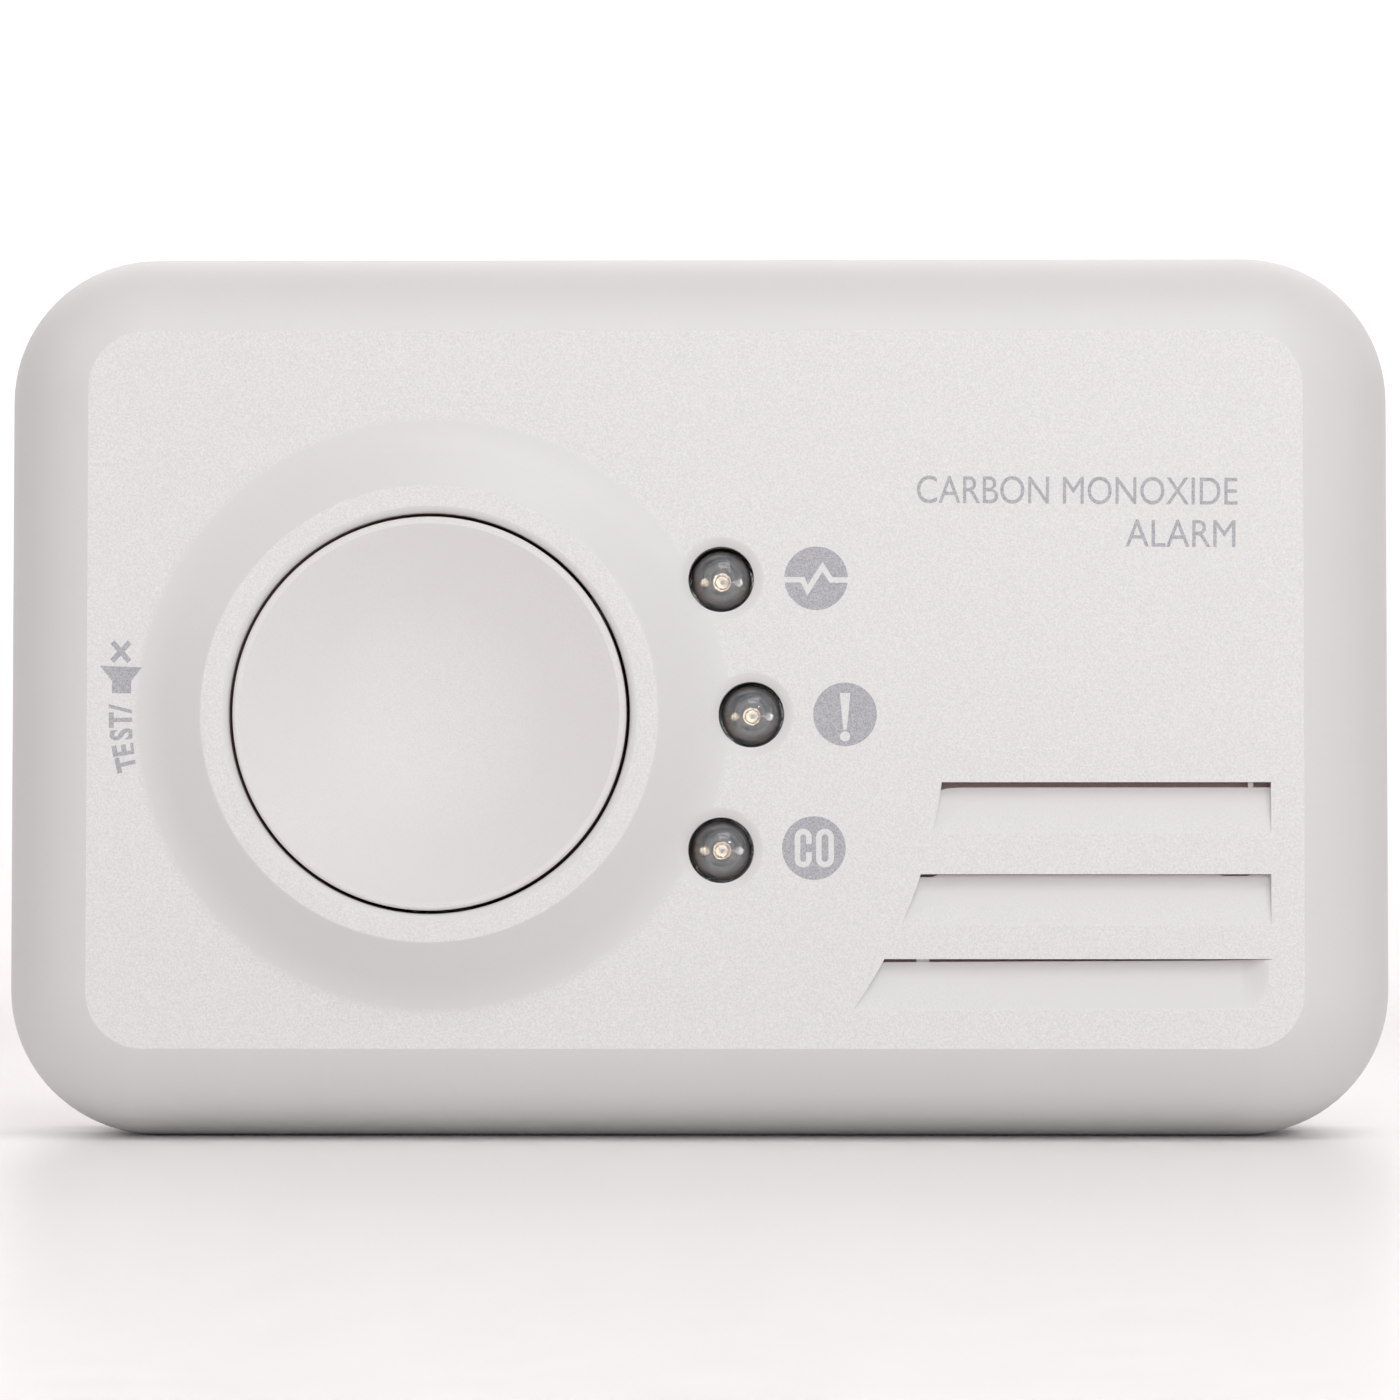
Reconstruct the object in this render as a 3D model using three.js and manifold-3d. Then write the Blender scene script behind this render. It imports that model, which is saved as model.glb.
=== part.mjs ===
// Carbon monoxide alarm, in millimetres. +X is to the right, +Z is up and the front faces -Y.
// The origin is under the middle of the case, on the surface that it stands on.
import * as THREE from "three";
import { mergeVertices } from "three/addons/utils/BufferGeometryUtils.js";
import Module from "manifold-3d";

const wasm = await Module();
wasm.setup();

// ---- driving dimensions -------------------------------------------------------------------------

const GAP = 0.3; // clearance between pieces that touch on the real object

// Case outline, seen from the front.
const WIDTH = 118;
const HEIGHT = 75.2;
const CORNER_R = 12.5;
const MID_Z = HEIGHT / 2;

// Raised front face inside the rolled bezel.
const FACE_WIDTH = 100.7;
const FACE_HEIGHT = 59.5;
const FACE_CORNER_R = 4.7;
const BEZEL_EDGE_SLOPE = THREE.MathUtils.degToRad(22);

// Planes along the depth, front to back.
const LIP_Y = -17; // front of the ring round the button, the foremost plane
const FACE_Y = -14;
const BEZEL_END_Y = 0.5; // the bezel has rolled into the side walls
const SPLIT_Y = 11.4; // rear rim of the front cover
const BACK_Y = 17;
const WALL = 2;

// Button and the ring round it.
const BUTTON_X = -21.7;
const BUTTON_Z = MID_Z - 2.15;
const BUTTON_R = 16.2;
const WELL_R = 16.6;
const WELL_END_Y = -8.5;
const LIP_OUTER_R = 18.85;
const CONE_END_R = 22;
const RING_END_R = 25.2; // the ring has faded into the front face
const BUTTON_TRAVEL = 0.7;
const DISH_DEPTH = 1.6;

// Indicator lamps on an arc round the button.
const LED_ARC_R = 26.4;
const LED_STEP = THREE.MathUtils.degToRad(25.15);
const LED_R = 2.45;
const LED_HOLE_R = 2.7;
const LED_TIP_Y = FACE_Y - 0.4;
const LED_LENGTH = 8.6;
const LED_NAMES = ["alarm", "fault", "power"];

// Louvres: each is a ramp that deepens upwards to a slit. Left ends follow an arc round the button.
const LOUVRE_ARC_R = 42.5;
const LOUVRE_RIGHT_X = 47.6;
const LOUVRE_TOPS = [MID_Z - 7.75, MID_Z - 15.35, MID_Z - 22.35];
const LOUVRE_HEIGHT = 4.25;
const LOUVRE_DEPTH = 0.9;
const SLIT_HEIGHT = 0.6;
const LOUVRE_PAD_Y = -10.5;

// Circuit board.
const PCB_FRONT_Y = -4;
const PCB_THICK = 1.6;
const PCB_BACK_Y = PCB_FRONT_Y + PCB_THICK;
const PCB_POSTS = [[-44, 12], [9, 11], [46, 66]];

// Battery bay and its door.
const CELL_R = 7.25;
const CELL_LENGTH = 50.5;
const CELL_PITCH = 14.9;
const CELL_Y = 6.6;
const BAY = { x0: -46.5, x1: 10.5, y0: -0.9, z0: 40.3, z1: 70.1 };
const BAY_WALL = 1.5;
const BAY_FLOOR = 1.2;
const CELL_X0 = BAY.x0 + 3.5;
const CELL_LOWER_Z = (BAY.z0 + BAY.z1 - CELL_PITCH) / 2;
const CELL_UPPER_Z = CELL_LOWER_Z + CELL_PITCH;
const DOOR = { x0: -47.3, x1: 11.3, z0: 39.6, z1: 70.2, y0: 15.2 };
const HINGE_Y = 15.7;
const HINGE_Z = 71.7;
const KNUCKLE_R = 1.2;
const HINGE_PIN_R = 0.7;
const KNUCKLE_LENGTH = 8;
const KNUCKLE_XS = [-38, 2];

// Case screws, in the four corners.
const SCREW_X = 53;
const SCREW_ZS = [9.2, 66];
const POST_R = 3.4;
const POST_END_Y = 9;
const SCREW_SEAT_Y = 12.4;

// Wall hangers.
const KEYHOLE_X = 40;
const KEYHOLE_Z = 25;
const KEYHOLE_ENTRY_R = 4.4;
const KEYHOLE_SLOT_R = 2.2;
const KEYHOLE_RISE = 8;

// Sounder and gas sensor.
const SOUNDER = { x: 32, z: 21, r: 15 };
const SENSOR = { x: 34, z: 54, r: 9.9 };

const ROUND = 44; // sides of a large round
const SMALL = 16; // sides of a small round

// ---- solids -------------------------------------------------------------------------------------

function solid(geometry) {
  const bare = geometry.clone();
  bare.deleteAttribute("normal");
  bare.deleteAttribute("uv");
  const merged = mergeVertices(bare);
  return new wasm.Manifold(
    new wasm.Mesh({
      numProp: 3,
      vertProperties: merged.attributes.position.array,
      triVerts: new Uint32Array(merged.index.array),
    }),
  );
}

function geometryOf(body) {
  const mesh = body.getMesh();
  const geometry = new THREE.BufferGeometry();
  geometry.setAttribute("position", new THREE.BufferAttribute(mesh.vertProperties, 3));
  geometry.setIndex(new THREE.BufferAttribute(mesh.triVerts, 1));
  geometry.computeVertexNormals();
  return geometry;
}

const join = (bodies) => bodies.reduce((whole, body) => whole.add(body));
const cut = (body, tools) => tools.reduce((rest, tool) => rest.subtract(tool), body);

function block(x0, x1, y0, y1, z0, z1) {
  const geometry = new THREE.BoxGeometry(x1 - x0, y1 - y0, z1 - z0);
  geometry.translate((x0 + x1) / 2, (y0 + y1) / 2, (z0 + z1) / 2);
  return solid(geometry);
}

// A round piece whose axis runs front to back: profile points are [radius, y], front first and outwards.
function turned(profile, x, z, sides = ROUND) {
  const points = profile.map(([r, y]) => new THREE.Vector2(r, y));
  const geometry = new THREE.LatheGeometry(points, sides);
  geometry.translate(x, 0, z);
  return solid(geometry);
}

function disc(r, y0, y1, x, z, sides = SMALL) {
  return turned([[0, y0], [r, y0], [r, y1], [0, y1]], x, z, sides);
}

// A cylinder along X.
function barrel(r, x0, x1, y, z, sides = SMALL) {
  const geometry = new THREE.CylinderGeometry(r, r, x1 - x0, sides);
  geometry.rotateZ(Math.PI / 2);
  geometry.translate((x0 + x1) / 2, y, z);
  return solid(geometry);
}

// A flat outline in XZ, given as a shape, made thick from y0 to y1.
function slab(shape, y0, y1, curveSegments = 8) {
  const options = { depth: y1 - y0, bevelEnabled: false, curveSegments };
  const geometry = new THREE.ExtrudeGeometry(shape, options);
  geometry.rotateX(Math.PI / 2);
  geometry.translate(0, y1, 0);
  return solid(geometry);
}

// A section in (y, z), given as points, made long from x0 to x1.
function bar(section, x0, x1) {
  const shape = new THREE.Shape(section.map(([y, z]) => new THREE.Vector2(y, z)));
  const geometry = new THREE.ExtrudeGeometry(shape, { depth: x1 - x0, bevelEnabled: false });
  const yAxis = new THREE.Vector3(0, 1, 0);
  const zAxis = new THREE.Vector3(0, 0, 1);
  const xAxis = new THREE.Vector3(1, 0, 0);
  geometry.applyMatrix4(new THREE.Matrix4().makeBasis(yAxis, zAxis, xAxis));
  geometry.translate(x0, 0, 0);
  return solid(geometry);
}

// A rectangle with round corners about (x, z).
function roundedRectangle(width, height, r, x = 0, z = MID_Z) {
  const right = x + width / 2;
  const left = x - width / 2;
  const top = z + height / 2;
  const bottom = z - height / 2;
  const shape = new THREE.Shape();
  shape.absarc(right - r, bottom + r, r, -Math.PI / 2, 0);
  shape.absarc(right - r, top - r, r, 0, Math.PI / 2);
  shape.absarc(left + r, top - r, r, Math.PI / 2, Math.PI);
  shape.absarc(left + r, bottom + r, r, Math.PI, 1.5 * Math.PI);
  shape.closePath();
  return shape;
}

// A skin through a row of outlines, front to back, closed by a flat cap at each end.
function loft(sections, cornerSteps = 3) {
  const rings = sections.map(({ y, width, height, r }) => {
    const points = roundedRectangle(width, height, r).getPoints(cornerSteps);
    const last = points[points.length - 1];
    if (last.distanceTo(points[0]) < 1e-6) points.pop();
    return points.map((p) => [p.x, y, p.y]);
  });
  const count = rings[0].length;
  const positions = rings.flat(2);
  const frontCentre = positions.length / 3;
  positions.push(0, sections[0].y, MID_Z);
  const backCentre = frontCentre + 1;
  positions.push(0, sections[sections.length - 1].y, MID_Z);
  const index = [];
  for (let i = 0; i < count; i += 1) {
    const next = (i + 1) % count;
    index.push(frontCentre, i, next);
    for (let k = 0; k < rings.length - 1; k += 1) {
      const here = k * count;
      const behind = here + count;
      index.push(here + i, behind + i, here + next);
      index.push(here + next, behind + i, behind + next);
    }
    const end = (rings.length - 1) * count;
    index.push(backCentre, end + next, end + i);
  }
  const geometry = new THREE.BufferGeometry();
  geometry.setAttribute("position", new THREE.Float32BufferAttribute(positions, 3));
  geometry.setIndex(index);
  return solid(geometry);
}

// ---- front cover --------------------------------------------------------------------------------

// The bezel is part of an ellipse that meets the side wall square and the front face at a slope.
// depth is how far the surface lies under the outside of the case.
function bezelSections(depth, steps = 6) {
  const rollDepth = BEZEL_END_Y - FACE_Y;
  const inset = (WIDTH - FACE_WIDTH) / 2;
  const share = (Math.tan(BEZEL_EDGE_SLOPE) * inset) / rollDepth;
  const edgeAngle = Math.acos(share / (1 - share));
  const across = inset / (1 - Math.cos(edgeAngle));
  const along = rollDepth / Math.sin(edgeAngle);
  const edge = depth * Math.tan(BEZEL_EDGE_SLOPE / 2);
  const sections = [{
    y: FACE_Y + depth,
    width: FACE_WIDTH - 2 * edge,
    height: FACE_HEIGHT - 2 * edge,
    r: FACE_CORNER_R - edge,
  }];
  for (let k = 1; k <= steps; k += 1) {
    const angle = edgeAngle * (1 - k / steps);
    const rolled = (1 - Math.cos(angle)) / (1 - Math.cos(edgeAngle));
    const outward = new THREE.Vector2(Math.cos(angle) / across, Math.sin(angle) / along).normalize();
    sections.push({
      y: BEZEL_END_Y - along * Math.sin(angle) + depth * outward.y,
      width: WIDTH - rolled * (WIDTH - FACE_WIDTH) - 2 * depth * outward.x,
      height: HEIGHT - rolled * (HEIGHT - FACE_HEIGHT) - 2 * depth * outward.x,
      r: CORNER_R - rolled * (CORNER_R - FACE_CORNER_R) - depth * outward.x,
    });
  }
  return sections;
}

function caseSection(y, inset) {
  return { y, width: WIDTH - 2 * inset, height: HEIGHT - 2 * inset, r: CORNER_R - inset };
}

// Height of the ring over the front face: a flat lip, a cone, then a hollow curve that fades out.
function ringRise(r) {
  const lipRise = FACE_Y - LIP_Y;
  const fade = RING_END_R - CONE_END_R;
  const slope = lipRise / (CONE_END_R - LIP_OUTER_R + fade / 2);
  if (r <= LIP_OUTER_R) return lipRise;
  if (r <= CONE_END_R) return lipRise - slope * (r - LIP_OUTER_R);
  return (slope * (RING_END_R - r) ** 2) / (2 * fade);
}

function buttonRing() {
  const sleeveR = WELL_R + WALL;
  const slopes = [LIP_OUTER_R, CONE_END_R, CONE_END_R + 1, CONE_END_R + 2, RING_END_R];
  return turned([
    [WELL_R, LIP_Y + 0.4],
    [WELL_R + 0.4, LIP_Y],
    ...slopes.map((r) => [r, FACE_Y - ringRise(r) - (r === RING_END_R ? 0.01 : 0)]),
    [RING_END_R, FACE_Y + 1],
    [sleeveR, FACE_Y + WALL],
    [sleeveR, WELL_END_Y],
    [WELL_R, WELL_END_Y],
    [WELL_R, LIP_Y + 0.4],
  ], BUTTON_X, BUTTON_Z);
}

// The ramp cut out of the front face, and the slit at the back of its upper edge.
function louvreCutter(top) {
  const bottom = top - LOUVRE_HEIGHT;
  const left = BUTTON_X + LOUVRE_ARC_R / 2;
  const proud = FACE_Y - 1;
  const ramp = bar([[proud, bottom], [FACE_Y, bottom], [FACE_Y + LOUVRE_DEPTH, top], [proud, top]],
    left, LOUVRE_RIGHT_X);
  const slit = block(left, LOUVRE_RIGHT_X, FACE_Y, LOUVRE_PAD_Y + 1, top - SLIT_HEIGHT, top);
  const keepOut = disc(LOUVRE_ARC_R, FACE_Y - 2, LOUVRE_PAD_Y + 2, BUTTON_X, BUTTON_Z, 2 * ROUND);
  return ramp.add(slit).subtract(keepOut);
}

function louvrePad() {
  const top = LOUVRE_TOPS[0] + 2;
  const bottom = LOUVRE_TOPS[2] - LOUVRE_HEIGHT - 1;
  return block(14.5, LOUVRE_RIGHT_X + 1.5, FACE_Y + WALL - 0.5, LOUVRE_PAD_Y, bottom, top);
}

function ledPlaces() {
  return LED_NAMES.map((name, k) => {
    const angle = (k - 1) * LED_STEP;
    return {
      name,
      x: BUTTON_X + LED_ARC_R * Math.cos(angle),
      z: BUTTON_Z + LED_ARC_R * Math.sin(angle),
    };
  });
}

const screwPlaces = () => [-SCREW_X, SCREW_X].flatMap((x) => SCREW_ZS.map((z) => ({ x, z })));

function frontCover() {
  const outside = loft([...bezelSections(0), caseSection(SPLIT_Y, 0)]);
  const inside = loft([...bezelSections(WALL), caseSection(SPLIT_Y + 1, WALL)]);
  const ledSleeves = ledPlaces().map(({ x, z }) => disc(LED_HOLE_R + 1, FACE_Y + 1, -9.5, x, z));
  const pcbPosts = PCB_POSTS.map(([x, z]) => disc(2.6, FACE_Y + 1, PCB_FRONT_Y - GAP, x, z));
  const screwPosts = screwPlaces().map(({ x, z }) => disc(POST_R, FACE_Y, POST_END_Y, x, z).intersect(outside));
  const shell = join([
    outside.subtract(inside), louvrePad(), ...ledSleeves, ...pcbPosts, ...screwPosts,
  ]);
  const well = disc(WELL_R + 1, LIP_Y - 1, WELL_END_Y + 1, BUTTON_X, BUTTON_Z, ROUND);
  const ledHoles = ledPlaces().map(({ x, z }) => turned([
    [0, FACE_Y - 1], [LED_HOLE_R + 0.7, FACE_Y - 1], [LED_HOLE_R + 0.7, FACE_Y], [LED_HOLE_R, FACE_Y + 0.6],
    [LED_HOLE_R, -8], [0, -8],
  ], x, z, 24));
  const pcbPilots = PCB_POSTS.map(([x, z]) => disc(1.3, -9, PCB_FRONT_Y, x, z, 12));
  const screwPilots = screwPlaces().map(({ x, z }) => disc(1.4, -1, POST_END_Y + 1, x, z, 12));
  const louvres = LOUVRE_TOPS.map(louvreCutter);
  return cut(shell, [well]).add(buttonRing())
    .subtract(join([...ledHoles, ...pcbPilots, ...screwPilots, ...louvres]));
}

// ---- rear cover and battery door ----------------------------------------------------------------

function keyhole(x) {
  const entry = disc(KEYHOLE_ENTRY_R, 10, BACK_Y + 1, x, KEYHOLE_Z, 24);
  const top = KEYHOLE_Z + KEYHOLE_RISE;
  const slotEnd = disc(KEYHOLE_SLOT_R, 10, BACK_Y + 1, x, top, 16);
  const slot = block(x - KEYHOLE_SLOT_R, x + KEYHOLE_SLOT_R, 10, BACK_Y + 1, KEYHOLE_Z, top);
  return join([entry, slotEnd, slot]);
}

function airSlots() {
  const slots = [];
  for (let k = 0; k < 5; k += 1) {
    const z = SENSOR.z - 8 + 4 * k;
    slots.push(slab(roundedRectangle(18, 1.6, 0.79, SENSOR.x, z), 12, BACK_Y + 1, 3));
  }
  return slots;
}

function rearCover() {
  const outside = loft([
    caseSection(SPLIT_Y + GAP, 0), caseSection(BACK_Y - 1.6, 0), caseSection(BACK_Y - 0.5, 0.6),
    caseSection(BACK_Y, 1.8),
  ]);
  const tongue = loft([caseSection(SPLIT_Y - 1.6, WALL + 0.25), caseSection(SPLIT_Y + 2, WALL + 0.25)]);
  const hollow = loft([caseSection(0, 2 * WALL - 0.5), caseSection(BACK_Y - WALL, 2 * WALL - 0.5)]);
  const bay = block(BAY.x0 - BAY_WALL, BAY.x1 + BAY_WALL, BAY.y0 - BAY_FLOOR, BACK_Y - 1,
    BAY.z0 - BAY_WALL, BAY.z1 + BAY_WALL);
  const tubes = screwPlaces().map(({ x, z }) => turned([[0, POST_END_Y + GAP], [2.95, POST_END_Y + GAP],
    [2.95, SPLIT_Y + 0.6], [3.9, SPLIT_Y + 0.6], [3.9, BACK_Y - 1], [0, BACK_Y - 1]], x, z, SMALL));
  const body = join([outside, tongue]).subtract(hollow).add(join([bay, ...tubes]));
  const bayHollow = block(BAY.x0, BAY.x1, BAY.y0, BACK_Y + 1, BAY.z0, BAY.z1);
  const seat = block(DOOR.x0 - GAP, DOOR.x1 + GAP, DOOR.y0 - 0.1, BACK_Y + 1,
    DOOR.z0 - GAP, DOOR.z1 + GAP);
  const knuckleRooms = KNUCKLE_XS.map((x) => block(x - KNUCKLE_LENGTH / 2 - GAP, x + KNUCKLE_LENGTH / 2 + GAP,
    HINGE_Y - KNUCKLE_R - 0.4, BACK_Y + 1, DOOR.z1 - 0.5, HINGE_Z + KNUCKLE_R + GAP));
  const hingeHoles = KNUCKLE_XS.map((x) => barrel(HINGE_PIN_R + GAP, x - KNUCKLE_LENGTH / 2 - 2,
    x + KNUCKLE_LENGTH / 2 + 2, HINGE_Y, HINGE_Z));
  const swingRoom = bar([[BACK_Y - 0.6, DOOR.z1 + 0.2], [BACK_Y + 0.2, DOOR.z1 + 0.2],
    [BACK_Y + 0.2, DOOR.z1 + 1.1]], DOOR.x0 - GAP, DOOR.x1 + GAP);
  const latchX = (DOOR.x0 + DOOR.x1) / 2;
  const thumbRecess = slab(roundedRectangle(14, 7, 2, latchX, DOOR.z0 - 1), 15.8, BACK_Y + 1, 3);
  const latchRoom = block(latchX - 4.3, latchX + 4.3, 13.6, BACK_Y, DOOR.z0 - 1.2, DOOR.z0 + 2);
  const screwHoles = screwPlaces().flatMap(({ x, z }) => [
    disc(1.6, 0, BACK_Y, x, z, 12), disc(2.9, SCREW_SEAT_Y, BACK_Y + 1, x, z),
  ]);
  const tailSlots = [CELL_LOWER_Z, CELL_UPPER_Z].map((z) => block(BAY.x0 - 0.1, BAY.x0 + 1,
    BAY.y0 - BAY_FLOOR - 1, BAY.y0 + 1, z - 1.5, z + 1.5));
  const shell = cut(body, [
    bayHollow, seat, swingRoom, ...knuckleRooms, ...hingeHoles, thumbRecess, latchRoom, ...screwHoles, ...tailSlots,
    ...airSlots(), keyhole(-KEYHOLE_X), keyhole(KEYHOLE_X),
  ]);
  const betweenZ = (CELL_LOWER_Z + CELL_UPPER_Z) / 2;
  const rib = block(BAY.x0 + 8, BAY.x1 - 8, BAY.y0 - 0.2, 1.5, betweenZ - 0.5, betweenZ + 0.5);
  return shell.add(rib);
}

function batteryDoor() {
  const panel = slab(roundedRectangle(DOOR.x1 - DOOR.x0, DOOR.z1 - DOOR.z0, 1,
    (DOOR.x0 + DOOR.x1) / 2, (DOOR.z0 + DOOR.z1) / 2), DOOR.y0, BACK_Y, 2);
  const knuckles = KNUCKLE_XS.flatMap((x) => [
    barrel(KNUCKLE_R, x - KNUCKLE_LENGTH / 2, x + KNUCKLE_LENGTH / 2, HINGE_Y, HINGE_Z),
    barrel(HINGE_PIN_R, x - KNUCKLE_LENGTH / 2 - 1.2, x + KNUCKLE_LENGTH / 2 + 1.2, HINGE_Y, HINGE_Z, 12),
    block(x - KNUCKLE_LENGTH / 2, x + KNUCKLE_LENGTH / 2, DOOR.y0, BACK_Y - 0.4, DOOR.z1 - 0.5, HINGE_Z),
  ]);
  const latchX = (DOOR.x0 + DOOR.x1) / 2;
  const latch = block(latchX - 4, latchX + 4, 13.9, BACK_Y - 0.4, DOOR.z0 - 0.6, DOOR.z0 + 1.4);
  const grips = [0, 1, 2].map((k) => block(latchX - 6, latchX + 6, BACK_Y - 0.5, BACK_Y + 1,
    DOOR.z0 + 3 + 1.6 * k, DOOR.z0 + 3.8 + 1.6 * k));
  return cut(join([panel, ...knuckles, latch]), grips);
}

// ---- button and its switch ----------------------------------------------------------------------

function testButton() {
  const dishY = LIP_Y + 0.2 + DISH_DEPTH;
  const dishR = BUTTON_R - 0.6;
  const profile = [[0, dishY]];
  const rings = 5;
  for (let k = 1; k <= rings; k += 1) {
    const r = (dishR * k) / rings;
    profile.push([r, dishY - DISH_DEPTH * (r / dishR) ** 2]);
  }
  profile.push([BUTTON_R - 0.15, LIP_Y + 0.3], [BUTTON_R, LIP_Y + 0.6], [BUTTON_R, -10.9],
    [BUTTON_R - 1.4, -10.9], [BUTTON_R - 1.4, -13.8], [2.5, -13.6], [2.5, -10.5], [0, -10.5]);
  const cap = turned(profile, BUTTON_X, BUTTON_Z);
  const ring = turned([[BUTTON_R - 1.4, -11.5], [BUTTON_R, -11.5], [BUTTON_R, -7.1], [BUTTON_R - 1.4, -7.1],
    [BUTTON_R - 1.4, -11.5]], BUTTON_X, BUTTON_Z);
  const hook = turned([[BUTTON_R - 1.4, WELL_END_Y + GAP], [BUTTON_R + 1.1, WELL_END_Y + GAP],
    [BUTTON_R + 0.2, -7.1], [BUTTON_R - 1.4, -7.1], [BUTTON_R - 1.4, WELL_END_Y + GAP]], BUTTON_X, BUTTON_Z);
  const legs = [30, 150, 270].map((degrees) => {
    const geometry = new THREE.BoxGeometry(8, 6, 5.5);
    geometry.translate(BUTTON_R, -9.5, 0);
    geometry.rotateY(THREE.MathUtils.degToRad(-degrees));
    geometry.translate(BUTTON_X, 0, BUTTON_Z);
    return solid(geometry).intersect(ring.add(hook));
  });
  return join([cap, ...legs]);
}

const SWITCH_TOP_Y = PCB_FRONT_Y - 3.6;

function switchBase() {
  const room = disc(2.1, SWITCH_TOP_Y - 1, SWITCH_TOP_Y + 1.2, BUTTON_X, BUTTON_Z);
  const body = block(BUTTON_X - 3, BUTTON_X + 3, SWITCH_TOP_Y, PCB_FRONT_Y - 0.2, BUTTON_Z - 3, BUTTON_Z + 3);
  const feet = [-1, 1].map((side) => block(BUTTON_X + 3.9 * side - 1, BUTTON_X + 3.9 * side + 1,
    PCB_FRONT_Y - 0.5, PCB_FRONT_Y - 0.2, BUTTON_Z - 2.4, BUTTON_Z + 2.4));
  return cut(join([body, ...feet]), [room]);
}

const switchPlunger = () => disc(1.75, -10.2, SWITCH_TOP_Y + 0.6, BUTTON_X, BUTTON_Z);

// ---- indicator lamps ----------------------------------------------------------------------------

const LED_BASE_Y = LED_TIP_Y + LED_LENGTH;
const LED_ROOM_Y = LED_TIP_Y + 3.4;

function ledLens({ x, z }) {
  const profile = [[0, LED_TIP_Y]];
  const rings = 4;
  for (let k = 1; k <= rings; k += 1) {
    const angle = (k / rings) * (Math.PI / 2);
    profile.push([LED_R * Math.sin(angle), LED_TIP_Y + LED_R * (1 - Math.cos(angle))]);
  }
  profile.push([LED_R, LED_BASE_Y - 1], [2.85, LED_BASE_Y - 1], [2.85, LED_BASE_Y], [0, LED_BASE_Y]);
  const room = block(x - 1.9, x + 1.9, LED_ROOM_Y, LED_BASE_Y + 1, z - 0.8, z + 0.8);
  return turned(profile, x, z, 24).subtract(room);
}

// The lead with the reflector cup.
function ledCathode({ x, z }) {
  const lead = block(x - 1.52, x - 1.02, LED_ROOM_Y + 1, PCB_FRONT_Y - 0.2, z - 0.25, z + 0.25);
  const anvil = block(x - 1.6, x + 0.45, LED_ROOM_Y + 0.3, LED_ROOM_Y + 1.5, z - 0.4, z + 0.4);
  return lead.add(anvil);
}

function ledAnode({ x, z }) {
  const lead = block(x + 1.02, x + 1.52, LED_ROOM_Y + 1, PCB_FRONT_Y - 0.2, z - 0.25, z + 0.25);
  const head = block(x + 0.8, x + 1.6, LED_ROOM_Y + 0.3, LED_ROOM_Y + 1.3, z - 0.4, z + 0.4);
  return lead.add(head);
}

// ---- circuit board and what stands on it --------------------------------------------------------

function mainPcb() {
  const board = slab(roundedRectangle(98, 62, 2, 0, MID_Z), PCB_FRONT_Y, PCB_BACK_Y, 2);
  return cut(board, PCB_POSTS.map(([x, z]) => disc(1.6, PCB_FRONT_Y - 1, PCB_BACK_Y + 1, x, z, 12)));
}

const PARTS_Y = PCB_BACK_Y + 0.2;

function controllerChip() {
  const body = block(-34, -24, PARTS_Y + 0.1, PARTS_Y + 1.7, 16, 22);
  const legs = [];
  for (let k = 0; k < 8; k += 1) {
    const x = -33.2 + 1.2 * k;
    legs.push(block(x, x + 0.5, PARTS_Y, PARTS_Y + 0.8, 14.8, 23.2));
  }
  return join([body, ...legs]);
}

const reservoirCapacitor = () => turned([[0, PARTS_Y], [4, PARTS_Y], [4, PARTS_Y + 1], [3.7, PARTS_Y + 1.3],
  [4, PARTS_Y + 1.6], [4, PARTS_Y + 10], [0, PARTS_Y + 10]], 24, 16, 24);

const boostCoil = () => turned([[0, PARTS_Y], [4.4, PARTS_Y], [4.4, PARTS_Y + 1.2], [3.4, PARTS_Y + 1.2],
  [3.4, PARTS_Y + 6], [4.4, PARTS_Y + 6], [4.4, PARTS_Y + 7.2], [0, PARTS_Y + 7.2]], -8, 17, 24);

const crystalCan = () => slab(roundedRectangle(10, 4.2, 2.05, -28, 30), PARTS_Y, PARTS_Y + 3.5, 4);

const sensorCan = () => turned([[0, PARTS_Y], [SENSOR.r, PARTS_Y], [SENSOR.r, 10.4], [SENSOR.r - 0.5, 10.9],
  [0, 10.9]], SENSOR.x, SENSOR.z, 36);

const sensorCap = () => turned([[0, 11.1], [8, 11.1], [8, 12.1], [7.6, 12.5], [1.2, 12.5], [1.2, 11.8],
  [0, 11.8]], SENSOR.x, SENSOR.z, 36);

// ---- sounder ------------------------------------------------------------------------------------

const SOUNDER_FRONT_Y = LOUVRE_PAD_Y + 1.2;

const sounderGasket = () => turned([[11, LOUVRE_PAD_Y + 0.1], [14, LOUVRE_PAD_Y + 0.1],
  [14, SOUNDER_FRONT_Y - 0.1], [11, SOUNDER_FRONT_Y - 0.1], [11, LOUVRE_PAD_Y + 0.1]], SOUNDER.x, SOUNDER.z);

// A cup that is open to the board, with a sound hole in its front and a step that the plate rests on.
const sounderHousing = () => turned([[2.5, SOUNDER_FRONT_Y], [SOUNDER.r, SOUNDER_FRONT_Y],
  [SOUNDER.r, PCB_FRONT_Y - 0.3], [SOUNDER.r - 1.1, PCB_FRONT_Y - 0.3], [SOUNDER.r - 1.1, -6.6],
  [SOUNDER.r - 2.6, -6.6], [SOUNDER.r - 2.6, SOUNDER_FRONT_Y + 1.1], [2.5, SOUNDER_FRONT_Y + 1.1],
  [2.5, SOUNDER_FRONT_Y]], SOUNDER.x, SOUNDER.z);

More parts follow.
